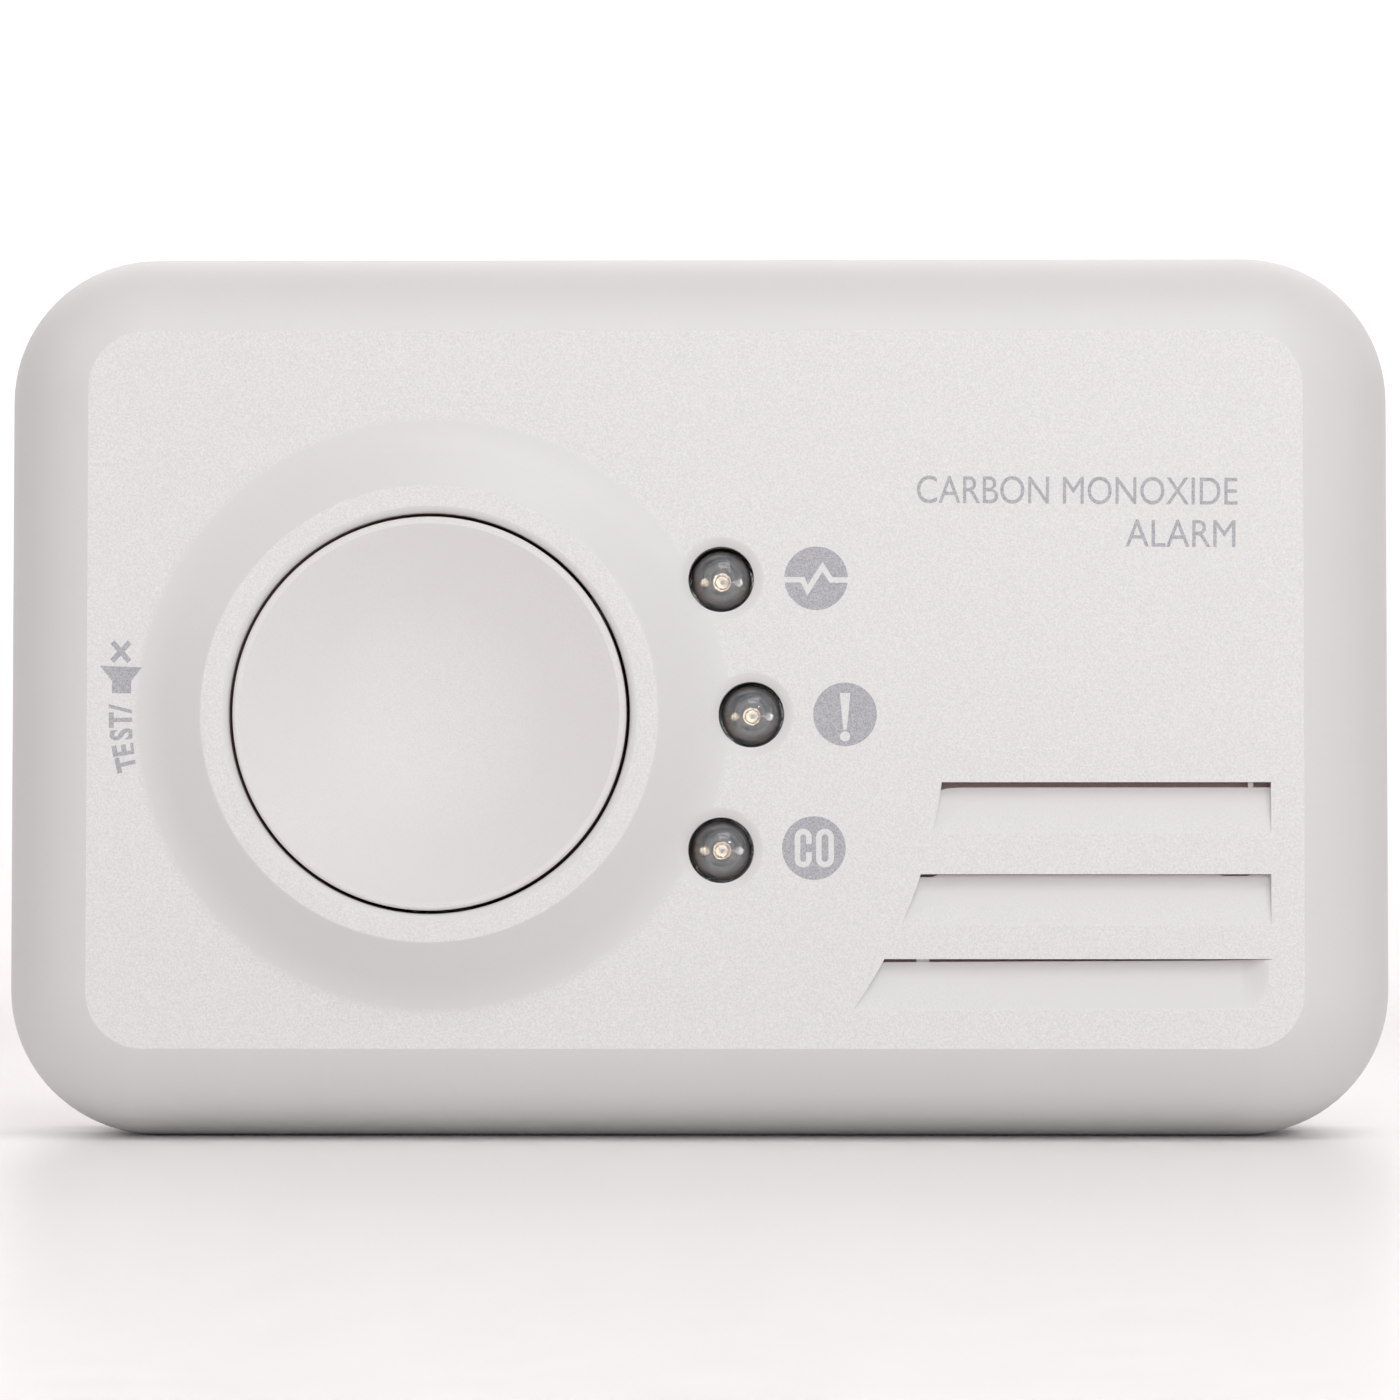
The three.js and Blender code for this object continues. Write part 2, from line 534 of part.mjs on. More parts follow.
const sounderPlate = () => disc(SOUNDER.r - 1.4, -6.5, -6.2, SOUNDER.x, SOUNDER.z, ROUND);
const sounderCeramic = () => disc(9.5, -6.15, -5.9, SOUNDER.x, SOUNDER.z, ROUND);

// ---- batteries and contacts ---------------------------------------------------------------------

// An AA cell along X; direction is +1 where the positive cap points to +X.
function cell(z, direction) {
  const profile = [[0, 0], [7.05, 0], [CELL_R, 0.3], [CELL_R, 48.9], [6.9, 49.3], [2.75, 49.3],
    [2.65, CELL_LENGTH], [0, CELL_LENGTH]];
  const points = profile.map(([r, along]) => new THREE.Vector2(r, along));
  const geometry = new THREE.LatheGeometry(points, 32);
  geometry.rotateZ(-Math.PI / 2 * direction);
  geometry.translate(direction > 0 ? CELL_X0 : CELL_X0 + CELL_LENGTH, CELL_Y, z);
  return solid(geometry);
}

const PLATE_THICK = 0.4;
const LEFT_PLATE_X = BAY.x0 + 0.2;
const RIGHT_PLATE_X = BAY.x1 - 0.2 - PLATE_THICK;

function terminalPlate(z) {
  const face = block(LEFT_PLATE_X, LEFT_PLATE_X + PLATE_THICK, BAY.y0 + 0.2, 12.5, z - 5.5, z + 5.5);
  const tail = block(LEFT_PLATE_X, LEFT_PLATE_X + PLATE_THICK, PCB_BACK_Y + 0.1, 0, z - 1.2, z + 1.2);
  return face.add(tail);
}

// The positive terminal has a raised pad that meets the cell's cap.
function positiveTerminal(z) {
  const pad = barrel(2.6, LEFT_PLATE_X + 0.1, CELL_X0 - 0.2, CELL_Y, z);
  return terminalPlate(z).add(pad);
}

function linkPlate() {
  const face = block(RIGHT_PLATE_X, RIGHT_PLATE_X + PLATE_THICK, BAY.y0 + 0.2, 12.5,
    CELL_LOWER_Z - 5.5, CELL_UPPER_Z + 5.5);
  const pad = barrel(2.6, CELL_X0 + CELL_LENGTH + 0.2, RIGHT_PLATE_X + 0.1, CELL_Y, CELL_UPPER_Z);
  return face.add(pad);
}

class SpringPath extends THREE.Curve {
  constructor(x0, x1, z) {
    super();
    Object.assign(this, { x0, x1, z });
  }

  getPoint(t, target = new THREE.Vector3()) {
    const turns = 2.5;
    const radius = 4.6 - 2 * t;
    const angle = 2 * Math.PI * turns * t;
    return target.set(THREE.MathUtils.lerp(this.x0, this.x1, t),
      CELL_Y + radius * Math.cos(angle), this.z + radius * Math.sin(angle));
  }
}

// A cone of wire that starts at the plate and ends at the cell.
function contactSpring(plateX, cellX, z) {
  const wireR = 0.3;
  const clear = wireR + 0.15;
  const side = Math.sign(cellX - plateX);
  const path = new SpringPath(plateX + clear * side, cellX - clear * side, z);
  const section = new THREE.Shape();
  section.absarc(0, 0, wireR, 0, 2 * Math.PI);
  const options = { steps: 30, bevelEnabled: false, curveSegments: 3, extrudePath: path };
  return solid(new THREE.ExtrudeGeometry(section, options));
}

// ---- screws -------------------------------------------------------------------------------------

function screw(x, z, headR, headY, headHeight, shankR, tipY) {
  const body = turned([[0, tipY], [shankR * 0.4, tipY], [shankR, tipY + 1.2], [shankR, headY],
    [headR, headY], [headR, headY + headHeight * 0.6], [headR * 0.75, headY + headHeight],
    [0, headY + headHeight]], x, z, 12);
  const slots = [0, Math.PI / 2].map((angle) => {
    const geometry = new THREE.BoxGeometry(headR * 1.1, headHeight, headR * 0.24);
    geometry.rotateY(angle);
    geometry.translate(x, headY + headHeight, z);
    return solid(geometry);
  });
  return cut(body, slots);
}

const caseScrew = ({ x, z }) => screw(x, z, 2.6, SCREW_SEAT_Y + 0.1, 1.8, 1.1, 0);
const pcbScrew = ([x, z]) => screw(x, z, 2.5, PCB_BACK_Y + 0.1, 1.5, 1, -8.6);

// ---- assembly -----------------------------------------------------------------------------------

function finish(color, roughness, metalness = 0) {
  return new THREE.MeshStandardMaterial({ color, roughness, metalness });
}

const CASE_WHITE = finish(0xe4e2e3, 0.55);
const BUTTON_WHITE = finish(0xe2dedd, 0.45);
const CLEAR_EPOXY = finish(0xd9dde0, 0.08);
const BOARD_GREEN = finish(0x1f6b3f, 0.45);
const PLATED = finish(0xc9c9c6, 0.3, 1);
const BRASS = finish(0xc9a552, 0.35, 1);
const CERAMIC = finish(0xe9e4d6, 0.6);
const BLACK_PLASTIC = finish(0x26262a, 0.5);
const FOAM = finish(0x3a3a3c, 0.95);
const CELL_JACKET = finish(0x2c4a7a, 0.35);
const CAN_STEEL = finish(0xb8babd, 0.35, 1);
const COPPER = finish(0xb06a3a, 0.4, 1);

const alarm = new THREE.Group();

function place(name, body, material) {
  const mesh = new THREE.Mesh(geometryOf(body), material);
  mesh.name = name;
  alarm.add(mesh);
}

place("front_cover", frontCover(), CASE_WHITE);
place("rear_cover", rearCover(), CASE_WHITE);
place("battery_door", batteryDoor(), CASE_WHITE);
place("test_button", testButton(), BUTTON_WHITE);
place("test_switch_base", switchBase(), BLACK_PLASTIC);
place("test_switch_plunger", switchPlunger(), BLACK_PLASTIC);
for (const led of ledPlaces()) {
  place(`led_${led.name}_lens`, ledLens(led), CLEAR_EPOXY);
  place(`led_${led.name}_cathode`, ledCathode(led), PLATED);
  place(`led_${led.name}_anode`, ledAnode(led), PLATED);
}
place("main_pcb", mainPcb(), BOARD_GREEN);
place("controller_chip", controllerChip(), BLACK_PLASTIC);
place("reservoir_capacitor", reservoirCapacitor(), BLACK_PLASTIC);
place("boost_coil", boostCoil(), COPPER);
place("crystal_can", crystalCan(), CAN_STEEL);
place("co_sensor_can", sensorCan(), CAN_STEEL);
place("co_sensor_cap", sensorCap(), BLACK_PLASTIC);
place("sounder_gasket", sounderGasket(), FOAM);
place("sounder_housing", sounderHousing(), BLACK_PLASTIC);
place("sounder_plate", sounderPlate(), BRASS);
place("sounder_ceramic", sounderCeramic(), CERAMIC);
place("battery_cell_lower", cell(CELL_LOWER_Z, -1), CELL_JACKET);
place("battery_cell_upper", cell(CELL_UPPER_Z, 1), CELL_JACKET);
place("terminal_plate_negative", terminalPlate(CELL_UPPER_Z), PLATED);
place("terminal_plate_positive", positiveTerminal(CELL_LOWER_Z), PLATED);
place("terminal_spring_negative",
  contactSpring(LEFT_PLATE_X + PLATE_THICK, CELL_X0, CELL_UPPER_Z), PLATED);
place("link_plate", linkPlate(), PLATED);
place("link_spring", contactSpring(RIGHT_PLATE_X, CELL_X0 + CELL_LENGTH, CELL_LOWER_Z), PLATED);
screwPlaces().forEach((at, k) => place(`case_screw_${k + 1}`, caseScrew(at), PLATED));
PCB_POSTS.forEach((at, k) => place(`pcb_screw_${k + 1}`, pcbScrew(at), PLATED));

export default alarm;
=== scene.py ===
"""The looks of a carbon monoxide alarm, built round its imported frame. Shapes are in mm until built."""

import math

import bpy
import numpy as np
from mathutils import Matrix, Vector
from mathutils.geometry import delaunay_2d_cdt


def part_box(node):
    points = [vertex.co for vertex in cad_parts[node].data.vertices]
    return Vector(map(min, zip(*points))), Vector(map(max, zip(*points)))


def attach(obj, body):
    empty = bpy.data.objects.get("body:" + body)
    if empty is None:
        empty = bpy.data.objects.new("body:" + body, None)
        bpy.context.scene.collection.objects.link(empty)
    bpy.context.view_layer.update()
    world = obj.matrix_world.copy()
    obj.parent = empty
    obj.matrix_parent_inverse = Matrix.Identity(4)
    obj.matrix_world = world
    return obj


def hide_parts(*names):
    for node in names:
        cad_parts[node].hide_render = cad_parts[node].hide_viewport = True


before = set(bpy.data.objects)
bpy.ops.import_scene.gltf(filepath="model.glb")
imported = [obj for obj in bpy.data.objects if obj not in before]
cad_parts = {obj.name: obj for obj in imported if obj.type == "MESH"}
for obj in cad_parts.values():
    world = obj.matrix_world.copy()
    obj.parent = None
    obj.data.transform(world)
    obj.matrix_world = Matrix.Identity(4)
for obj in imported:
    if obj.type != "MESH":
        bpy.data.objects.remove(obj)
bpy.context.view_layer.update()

MM = 0.001
GAP = 0.3  # the clearance that CAD leaves between pieces that touch


def node_box(name):
    low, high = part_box(name)
    return np.array(low) / MM, np.array(high) / MM


# ---- sizes, from the frame where a node shows them ----

FRONT_LOW, FRONT_HIGH = node_box("front_cover")
BUTTON_LOW, BUTTON_HIGH = node_box("test_button")

WIDTH = FRONT_HIGH[0] - FRONT_LOW[0]
HEIGHT = FRONT_HIGH[2] - FRONT_LOW[2]
MID_Z = HEIGHT / 2
CORNER_R = 12.5
WALL = 2.0
EDGE_R = 0.25  # rounding of the edges where the two covers meet

LIP_Y = FRONT_LOW[1]
FACE_Y = LIP_Y + 3.0
BEZEL_END_Y = 0.5
SPLIT_Y = FRONT_HIGH[1]
BACK_Y = node_box("rear_cover")[1][1]

FACE_WIDTH = 100.7
FACE_HEIGHT = 59.5
FACE_CORNER_R = 4.7
BEZEL_EDGE_SLOPE = math.radians(22)

BUTTON_R = (BUTTON_HIGH[0] - BUTTON_LOW[0]) / 2
BUTTON = np.array([(BUTTON_LOW[0] + BUTTON_HIGH[0]) / 2, BUTTON_HIGH[2] - BUTTON_R])
WELL_R = BUTTON_R + 0.27
WELL_END_Y = -8.5
LIP_OUTER_R = 18.85
CONE_END_R = 22.0
RING_END_R = 25.2
LIP_ROUND = 0.62

LED_HOLE_R = 2.72
LED_DIP_R = 3.65
LED_DIP_DEPTH = 0.26
LED_R = 2.45

LOUVRE_ARC_R = 42.5
LOUVRE_RIGHT_X = 47.6
LOUVRE_TOPS = (MID_Z - 7.75, MID_Z - 15.35, MID_Z - 22.35)
LOUVRE_HEIGHT = 4.25
LOUVRE_DEPTH = 0.9
LOUVRE_FADE = 2.6  # length over which the lowest louvre runs out at its right end
# a floor in painted shade behind each slit, standing in for the dark inside of the case
SLIT_SHADE_FLOOR_Y = FACE_Y + LOUVRE_DEPTH + 0.8
LOUVRE_PAD_Y = -10.5

DOOR_X0, DOOR_X1, DOOR_Z0, DOOR_Z1 = -47.3, 11.3, 39.6, 70.2
DOOR_Y = 15.2
BAY_X0, BAY_X1, BAY_Z0, BAY_Z1 = -46.5, 10.5, 40.3, 70.1
BAY_FLOOR_Y = -0.9
DOOR_X, DOOR_Z = (DOOR_X0 + DOOR_X1) / 2, (DOOR_Z0 + DOOR_Z1) / 2
HINGE_Y, HINGE_Z = 15.7, 71.7
KNUCKLE_R = 1.2
KNUCKLE_LENGTH = 8.0
KNUCKLE_XS = (-38.0, 2.0)
SCREW_SEAT_Y = 12.4
LATCH_HALF, LATCH_Y = 4.0, 13.9  # half its width, and where it starts
LABEL_X, LABEL_Z = 0.0, 18.0


def centre_of(name):
    """The middle of a node in the XZ plane."""
    low, high = node_box(name)
    return np.array([(low[0] + high[0]) / 2, (low[2] + high[2]) / 2])


LEDS = {name: centre_of(f"led_{name}_lens") for name in ("power", "fault", "alarm")}


# ---- building surfaces ----


def put(name, data):
    """A new object in the scene."""
    made = bpy.data.objects.new(name, data)
    bpy.context.scene.collection.objects.link(made)
    return made


class Skin:
    """Patches of surface, each with its own normals, that become one mesh.

    Each patch has a finish: 0 for the outside, 1 for the inside."""

    def __init__(self):
        self.corners, self.normals, self.finishes = [], [], []

    def add(self, points, faces, normals, finish=0):
        """Triangles over points, turned to face along the normals. There is one normal for each point."""
        points, faces = np.asarray(points, float), np.asarray(faces, int)
        normals = np.asarray(normals, float)
        corner, side = points[faces], normals[faces]
        facing = np.cross(corner[:, 1] - corner[:, 0], corner[:, 2] - corner[:, 0])
        away = np.einsum("ij,ij->i", facing, side.sum(1)) < 0
        corner[away] = corner[away][:, ::-1]
        side[away] = side[away][:, ::-1]
        self.corners.append(corner)
        self.normals.append(side)
        self.finishes.append(np.full(len(faces), finish))

    def build(self, name, materials, body, slot, replaces=()):
        corners, normals = np.vstack(self.corners), np.vstack(self.normals)
        flat = corners.reshape(-1, 3)
        _, first, index = np.unique(np.round(flat, 4), axis=0, return_index=True, return_inverse=True)
        faces = index.reshape(-1, 3)
        real = (faces[:, 0] != faces[:, 1]) & (faces[:, 1] != faces[:, 2]) & (faces[:, 0] != faces[:, 2])
        mesh = bpy.data.meshes.new(name)
        mesh.from_pydata(flat[first] * MM, [], faces[real].tolist())
        for material in materials if isinstance(materials, tuple) else (materials,):
            mesh.materials.append(material)
        mesh.polygons.foreach_set("material_index", np.concatenate(self.finishes)[real])
        mesh.polygons.foreach_set("use_smooth", [True] * len(mesh.polygons))
        mesh.normals_split_custom_set(normals[real].reshape(-1, 3).tolist())
        piece = put(name, mesh)
        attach(piece, body)
        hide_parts(*replaces)


def strip(skin, rows, normals, closed=True, finish=0):
    """A surface through rows of points; rows and normals are [row, point, xyz]."""
    rows, normals = np.asarray(rows, float), np.asarray(normals, float)
    count, length = rows.shape[:2]
    k, i = np.meshgrid(np.arange(count - 1), np.arange(length if closed else length - 1), indexing="ij")
    here, across = (k * length + i).ravel(), (k * length + (i + 1) % length).ravel()
    faces = np.vstack([
        np.stack([here, across, here + length], 1), np.stack([across, across + length, here + length], 1)
    ])
    skin.add(rows.reshape(-1, 3), faces, normals.reshape(-1, 3), finish)


def run_normals(run):
    """Normals, to the right of the way along a run of points in a plane."""
    run = np.asarray(run, float)
    along = np.gradient(run, axis=0)
    turned = np.stack([along[:, 1], -along[:, 0]], 1)
    return turned / np.linalg.norm(turned, axis=1, keepdims=True)


def lathe(skin, runs, centre, sides, axis="y", finish=0):
    """Turns runs of (radius, place along the axis): smooth within a run, crisp between runs.

    The centre is (x, z) for the Y axis and (y, z) for the X axis."""
    angle = np.linspace(0, 2 * math.pi, sides, endpoint=False)
    ring = np.stack([np.cos(angle), np.sin(angle)], 1)
    column = "xy".index(axis)
    for run in runs:
        rows = [np.insert(centre + ring * r, column, along, axis=1) for r, along in run]
        normals = [np.insert(ring * nr, column, na, axis=1) for nr, na in run_normals(run)]
        strip(skin, rows, normals, finish=finish)


def crisp(profile):
    """Runs for lathe, one for each step of a profile whose every corner is sharp."""
    return [list(run) for run in zip(profile[:-1], profile[1:])]


def block(skin, low, high):
    """A box between two corners."""
    low, high = np.asarray(low, float), np.asarray(high, float)
    for axis in range(3):
        u, v = (axis + 1) % 3, (axis + 2) % 3
        for end, way in ((low, -1), (high, 1)):
            points, normal = np.repeat([low], 4, axis=0), np.zeros(3)
            points[:, axis], normal[axis] = end[axis], way
            points[1:3, u], points[2:4, v] = high[u], high[v]
            skin.add(points, [[0, 1, 2], [0, 2, 3]], np.repeat([normal], 4, axis=0))


def arc(cx, cy, rx, ry, start, stop, steps):
    """Points on part of an ellipse, from one angle to another, in degrees."""
    angle = np.radians(np.linspace(start, stop, steps + 1))
    return np.stack([cx + rx * np.cos(angle), cy + ry * np.sin(angle)], 1)


def circle(centre, r, steps=48):
    return arc(centre[0], centre[1], r, r, 0, 360, steps)[:-1]


def rectangle(x0, x1, z0, z1):
    return np.array([[x0, z0], [x1, z0], [x1, z1], [x0, z1]], float)


def rounded(width, height, r, x=0.0, z=MID_Z, steps=20):
    """A rectangle with round corners, and the way out at each of its points."""
    dx, dz = width / 2 - r, height / 2 - r
    corners = [(dx, -dz, -90), (dx, dz, 0), (-dx, dz, 90), (-dx, -dz, 180)]
    points = np.vstack([arc(x + cx, z + cz, r, r, a, a + 90, steps) for cx, cz, a in corners])
    out = np.vstack([arc(0, 0, 1, 1, a, a + 90, steps) for _, _, a in corners])
    return points, out


def at(points, y):
    """Points of the XZ plane, put at a depth."""
    return np.insert(points, 1, y, axis=1)


def tilt(out, across, along):
    """Normals that lean: across is the share along out in the XZ plane, along the share along Y."""
    size = math.hypot(across, along)
    return np.stack([out[:, 0] * across, np.full(len(out), along), out[:, 1] * across], 1) / size


def inside(loop, points):
    """Which points lie inside a closed loop."""
    x, z = points[:, 0], points[:, 1]
    found = np.zeros(len(points), bool)
    for (ax, az), (bx, bz) in zip(loop, np.roll(loop, -1, axis=0)):
        if az != bz:
            found ^= ((az > z) != (bz > z)) & (x < (bx - ax) * (z - az) / (bz - az) + ax)
    return found


def level(height, points):
    """The depth of a zone's surface over points: a number, or a function of x and z."""
    return height(points[:, 0], points[:, 1]) if callable(height) else np.full(len(points), float(height))


def slope_normals(height, points, outward):
    if not callable(height):
        return np.tile([0.0, outward, 0.0], (len(points), 1))
    x, z, step = points[:, 0], points[:, 1], 0.004
    dx = (height(x + step, z) - height(x - step, z)) / (2 * step)
    dz = (height(x, z + step) - height(x, z - step)) / (2 * step)
    normals = np.stack([-dx, np.ones(len(x)), -dz], 1) * outward
    return normals / np.linalg.norm(normals, axis=1, keepdims=True)


def relief(skin, boundary, base, zones, outward, samples=(), inner_finish=0):
    """A plate seen along Y, stepped into zones.

    base and each zone hold the depth of the outer surface and of the inner one, or None for a hole.
    A zone is (loop, outer, inner) and may end with the finish of its outer surface. A later zone wins
    over an earlier one. Walls are made where zones meet, and the boundary is left open for the strips
    that follow it. outward is -1 where the outside faces -Y, or 1. inner_finish is the finish of the
    inner surface and of the walls of holes."""
    loops = [boundary] + [zone[0] for zone in zones]
    starts = np.cumsum([0] + [len(loop) for loop in loops])
    points = np.vstack([*loops, *samples])
    edges = [(s + i, s + (i + 1) % len(loop)) for s, loop in zip(starts, loops) for i in range(len(loop))]
    made = delaunay_2d_cdt([Vector(p) for p in points], edges, [], 0, 1e-5)
    faces = np.array(made[2])
    points = np.array([points[given[0]] if given else tuple(p) for p, given in zip(made[0], made[3])])
    centres = points[faces].mean(1)
    kind = np.where(inside(boundary, centres), 0, -1)
    for k, zone in enumerate(zones):
        kind[inside(zone[0], centres) & (kind >= 0)] = k + 1
    levels = [(*base, 0)] + [(*zone[1:3], zone[3] if len(zone) > 3 else 0) for zone in zones]
    for k, (outer, inner, finish) in enumerate(levels):
        chosen = faces[kind == k]
        if outer is None or not len(chosen):
            continue
        used, index = np.unique(chosen, return_inverse=True)
        spots, index = points[used], index.reshape(-1, 3)
        skin.add(at(spots, level(outer, spots)), index, slope_normals(outer, spots, outward), finish)
        skin.add(at(spots, level(inner, spots)), index, slope_normals(0, spots, -outward), inner_finish)
    relief_walls(skin, points, faces, kind, centres, levels, outward, inner_finish)


FLUSH = 1e-6  # difference in depth under which two zones need no wall between them
NO_HEIGHT = 1e-4  # difference in depth under which two corners of a wall are one
SAME_WALL = 0.8  # cosine of the angle between two walls up to which they look like one


def relief_walls(skin, points, faces, kind, centres, levels, outward, inner_finish):
    """The walls between zones.

    Neighbouring walls share a normal where they meet at a shallow angle, and every depth at which a wall
    starts or ends on an edge is a corner of all the walls on that edge, so that the mesh is closed."""
    sides = np.sort(np.vstack([faces[:, [0, 1]], faces[:, [1, 2]], faces[:, [2, 0]]]), axis=1)
    owner = np.tile(np.arange(len(faces)), 3)
    order = np.lexsort((sides[:, 1], sides[:, 0]))
    sides, owner = sides[order], owner[order]
    walls = []
    for i in np.nonzero((sides[1:] == sides[:-1]).all(1))[0]:
        a, b = owner[i], owner[i + 1]
        if kind[a] == kind[b] or min(kind[a], kind[b]) < 0:
            continue
        if levels[kind[a]][0] is None:
            a, b = b, a
        (outer_a, inner_a, _), (outer_b, inner_b, _) = levels[kind[a]], levels[kind[b]]
        if outer_a is None:
            continue
        ends = points[sides[i]]
        if outer_b is None:
            walls.append((ends, level(outer_a, ends), level(inner_a, ends), a, b, inner_finish))
            continue
        for height_a, height_b, way in ((outer_a, outer_b, outward), (inner_a, inner_b, -outward)):
            first, second = level(height_a, ends), level(height_b, ends)
            if np.abs(first - second).max() > FLUSH:
                solid, empty = (a, b) if (way * (first - second)).mean() > 0 else (b, a)
                finish = levels[kind[empty]][2] if way == outward else inner_finish
                walls.append((ends, first, second, solid, empty, finish))
    ways, meeting, stops = [], {}, {}
    for k, (ends, first, second, solid, empty, _) in enumerate(walls):
        along = ends[1] - ends[0]
        way = np.array([along[1], -along[0]]) / np.linalg.norm(along)
        ways.append(way if way @ (centres[empty] - centres[solid]) > 0 else -way)
        for end, *depths in zip(ends, first, second):
            spot = tuple(np.round(end, 3))
            meeting.setdefault(spot, []).append(k)
            stops.setdefault(spot, set()).update(round(float(y), 5) for y in depths)
    for k, (ends, first, second, _, _, finish) in enumerate(walls):
        columns, normals = [], []
        for end, *depths in zip(ends, first, second):
            spot = tuple(np.round(end, 3))
            mean = np.sum([ways[j] for j in meeting[spot] if ways[j] @ ways[k] > SAME_WALL], axis=0)
            low, high = sorted(depths)
            column = [low] + sorted(y for y in stops[spot] if low + NO_HEIGHT < y < high - NO_HEIGHT)
            column += [high] if high - low > NO_HEIGHT else []
            columns.append([(end[0], y, end[1]) for y in column])
            normals += [np.array([mean[0], 0.0, mean[1]]) / np.linalg.norm(mean)] * len(column)
        skin.add(np.vstack(columns), ladder(*map(len, columns)), normals, finish)


def ladder(left, right):
    """Triangles between two columns of points, the left one's numbered first."""
    faces, i, j = [], 0, 0
    while i < left - 1 or j < right - 1:
        if j == right - 1 or (i < left - 1 and (i + 1) * (right - 1) <= (j + 1) * (left - 1)):
            faces.append((i, i + 1, left + j))
            i += 1
        else:
            faces.append((i, left + j + 1, left + j))
            j += 1
    return faces


# ---- materials ----


def set_stops(node, stops):
    """Gives a colour ramp its two stops, each (place, value or colour)."""
    for element, (place, value) in zip(node.color_ramp.elements, stops):
        element.position = place
        element.color = (*value, 1) if isinstance(value, tuple) else (value, value, value, 1)


class Look:
    """A material whose nodes are added one call at a time."""

    def __init__(self, name, colour, roughness, **settings):
        self.material = bpy.data.materials.new(name)
        self.material.use_nodes = True
        self.nodes = self.material.node_tree.nodes
        self.links = self.material.node_tree.links
        self.shader = self.nodes["Principled BSDF"]
        self.shader.inputs["Base Color"].default_value = (*colour, 1)
        self.shader.inputs["Roughness"].default_value = roughness
        for key, value in settings.items():
            self.shader.inputs[key.replace("_", " ").title().replace("Ior", "IOR")].default_value = value
        self.place = self.nodes.new("ShaderNodeTexCoord")

    def link(self, source, target):
        self.links.new(source, target)

    def axes(self, coordinates):
        """The X, Y and Z of one of the texture coordinates, by letter."""
        split = self.nodes.new("ShaderNodeSeparateXYZ")
        self.link(self.place.outputs[coordinates], split.inputs["Vector"])
        return split.outputs

    def vector(self, *values):
        """A vector with the values as its X, Y and Z."""
        node = self.nodes.new("ShaderNodeCombineXYZ")
        for value, socket in zip(values, node.inputs):
            self.link(value, socket)
        return node.outputs["Vector"]

    def noise(self, size, detail=2.0, roughness=0.5, vector=None):
        """Noise whose grains are size millimetres across, or size across in the units of the vector."""
        node = self.nodes.new("ShaderNodeTexNoise")
        node.inputs["Scale"].default_value = 1 / (size if vector else size * MM)
        node.inputs["Detail"].default_value = detail
        node.inputs["Roughness"].default_value = roughness
        self.link(vector or self.place.outputs["Object"], node.inputs["Vector"])
        return node.outputs["Fac"]

    def ramp(self, source, stops):
        """A colour ramp over source."""
        node = self.nodes.new("ShaderNodeValToRGB")
        set_stops(node, stops)
        self.link(source, node.inputs["Fac"])
        return node.outputs["Color"]

    def step(self, source, low, high):
        """0 where the source is under low, 1 where it is over high."""
        return self.ramp(source, [(low, 0.0), (high, 1.0)])

    def math(self, operation, *values):
        node = self.nodes.new("ShaderNodeMath")
        node.operation = operation
        for socket, value in zip(node.inputs, values):
            if isinstance(value, (int, float)):
                socket.default_value = value
            else:
                self.link(value, socket)
        return node.outputs["Value"]

    def mix(self, share, a, b):
        node = self.nodes.new("ShaderNodeMix")
        node.data_type = "RGBA"
        self.link(share, node.inputs["Factor"])
        for socket, value in ((node.inputs[6], a), (node.inputs[7], b)):
            if isinstance(value, tuple):
                socket.default_value = (*value, 1)
            else:
                self.link(value, socket)
        return node.outputs[2]

    def bump(self, height, depth):
        """Bump from a height of 0 to 1, depth millimetres deep."""
        node = self.nodes.new("ShaderNodeBump")
        node.inputs["Strength"].default_value = 1.0
        node.inputs["Distance"].default_value = depth * MM
        self.link(height, node.inputs["Height"])
        self.link(node.outputs["Normal"], self.shader.inputs["Normal"])

    def colour(self, source):
        self.link(source, self.shader.inputs["Base Color"])

    def roughness(self, source):
        self.link(source, self.shader.inputs["Roughness"])


SPARK_GRAIN = {"detail": 3.0, "roughness": 0.65}  # of the spark-eroded texture and the print on it
SPARK_GRAIN_SIZE = 0.15


def scaled(colour, factor):
    return tuple(min(1.0, c * factor) for c in colour)


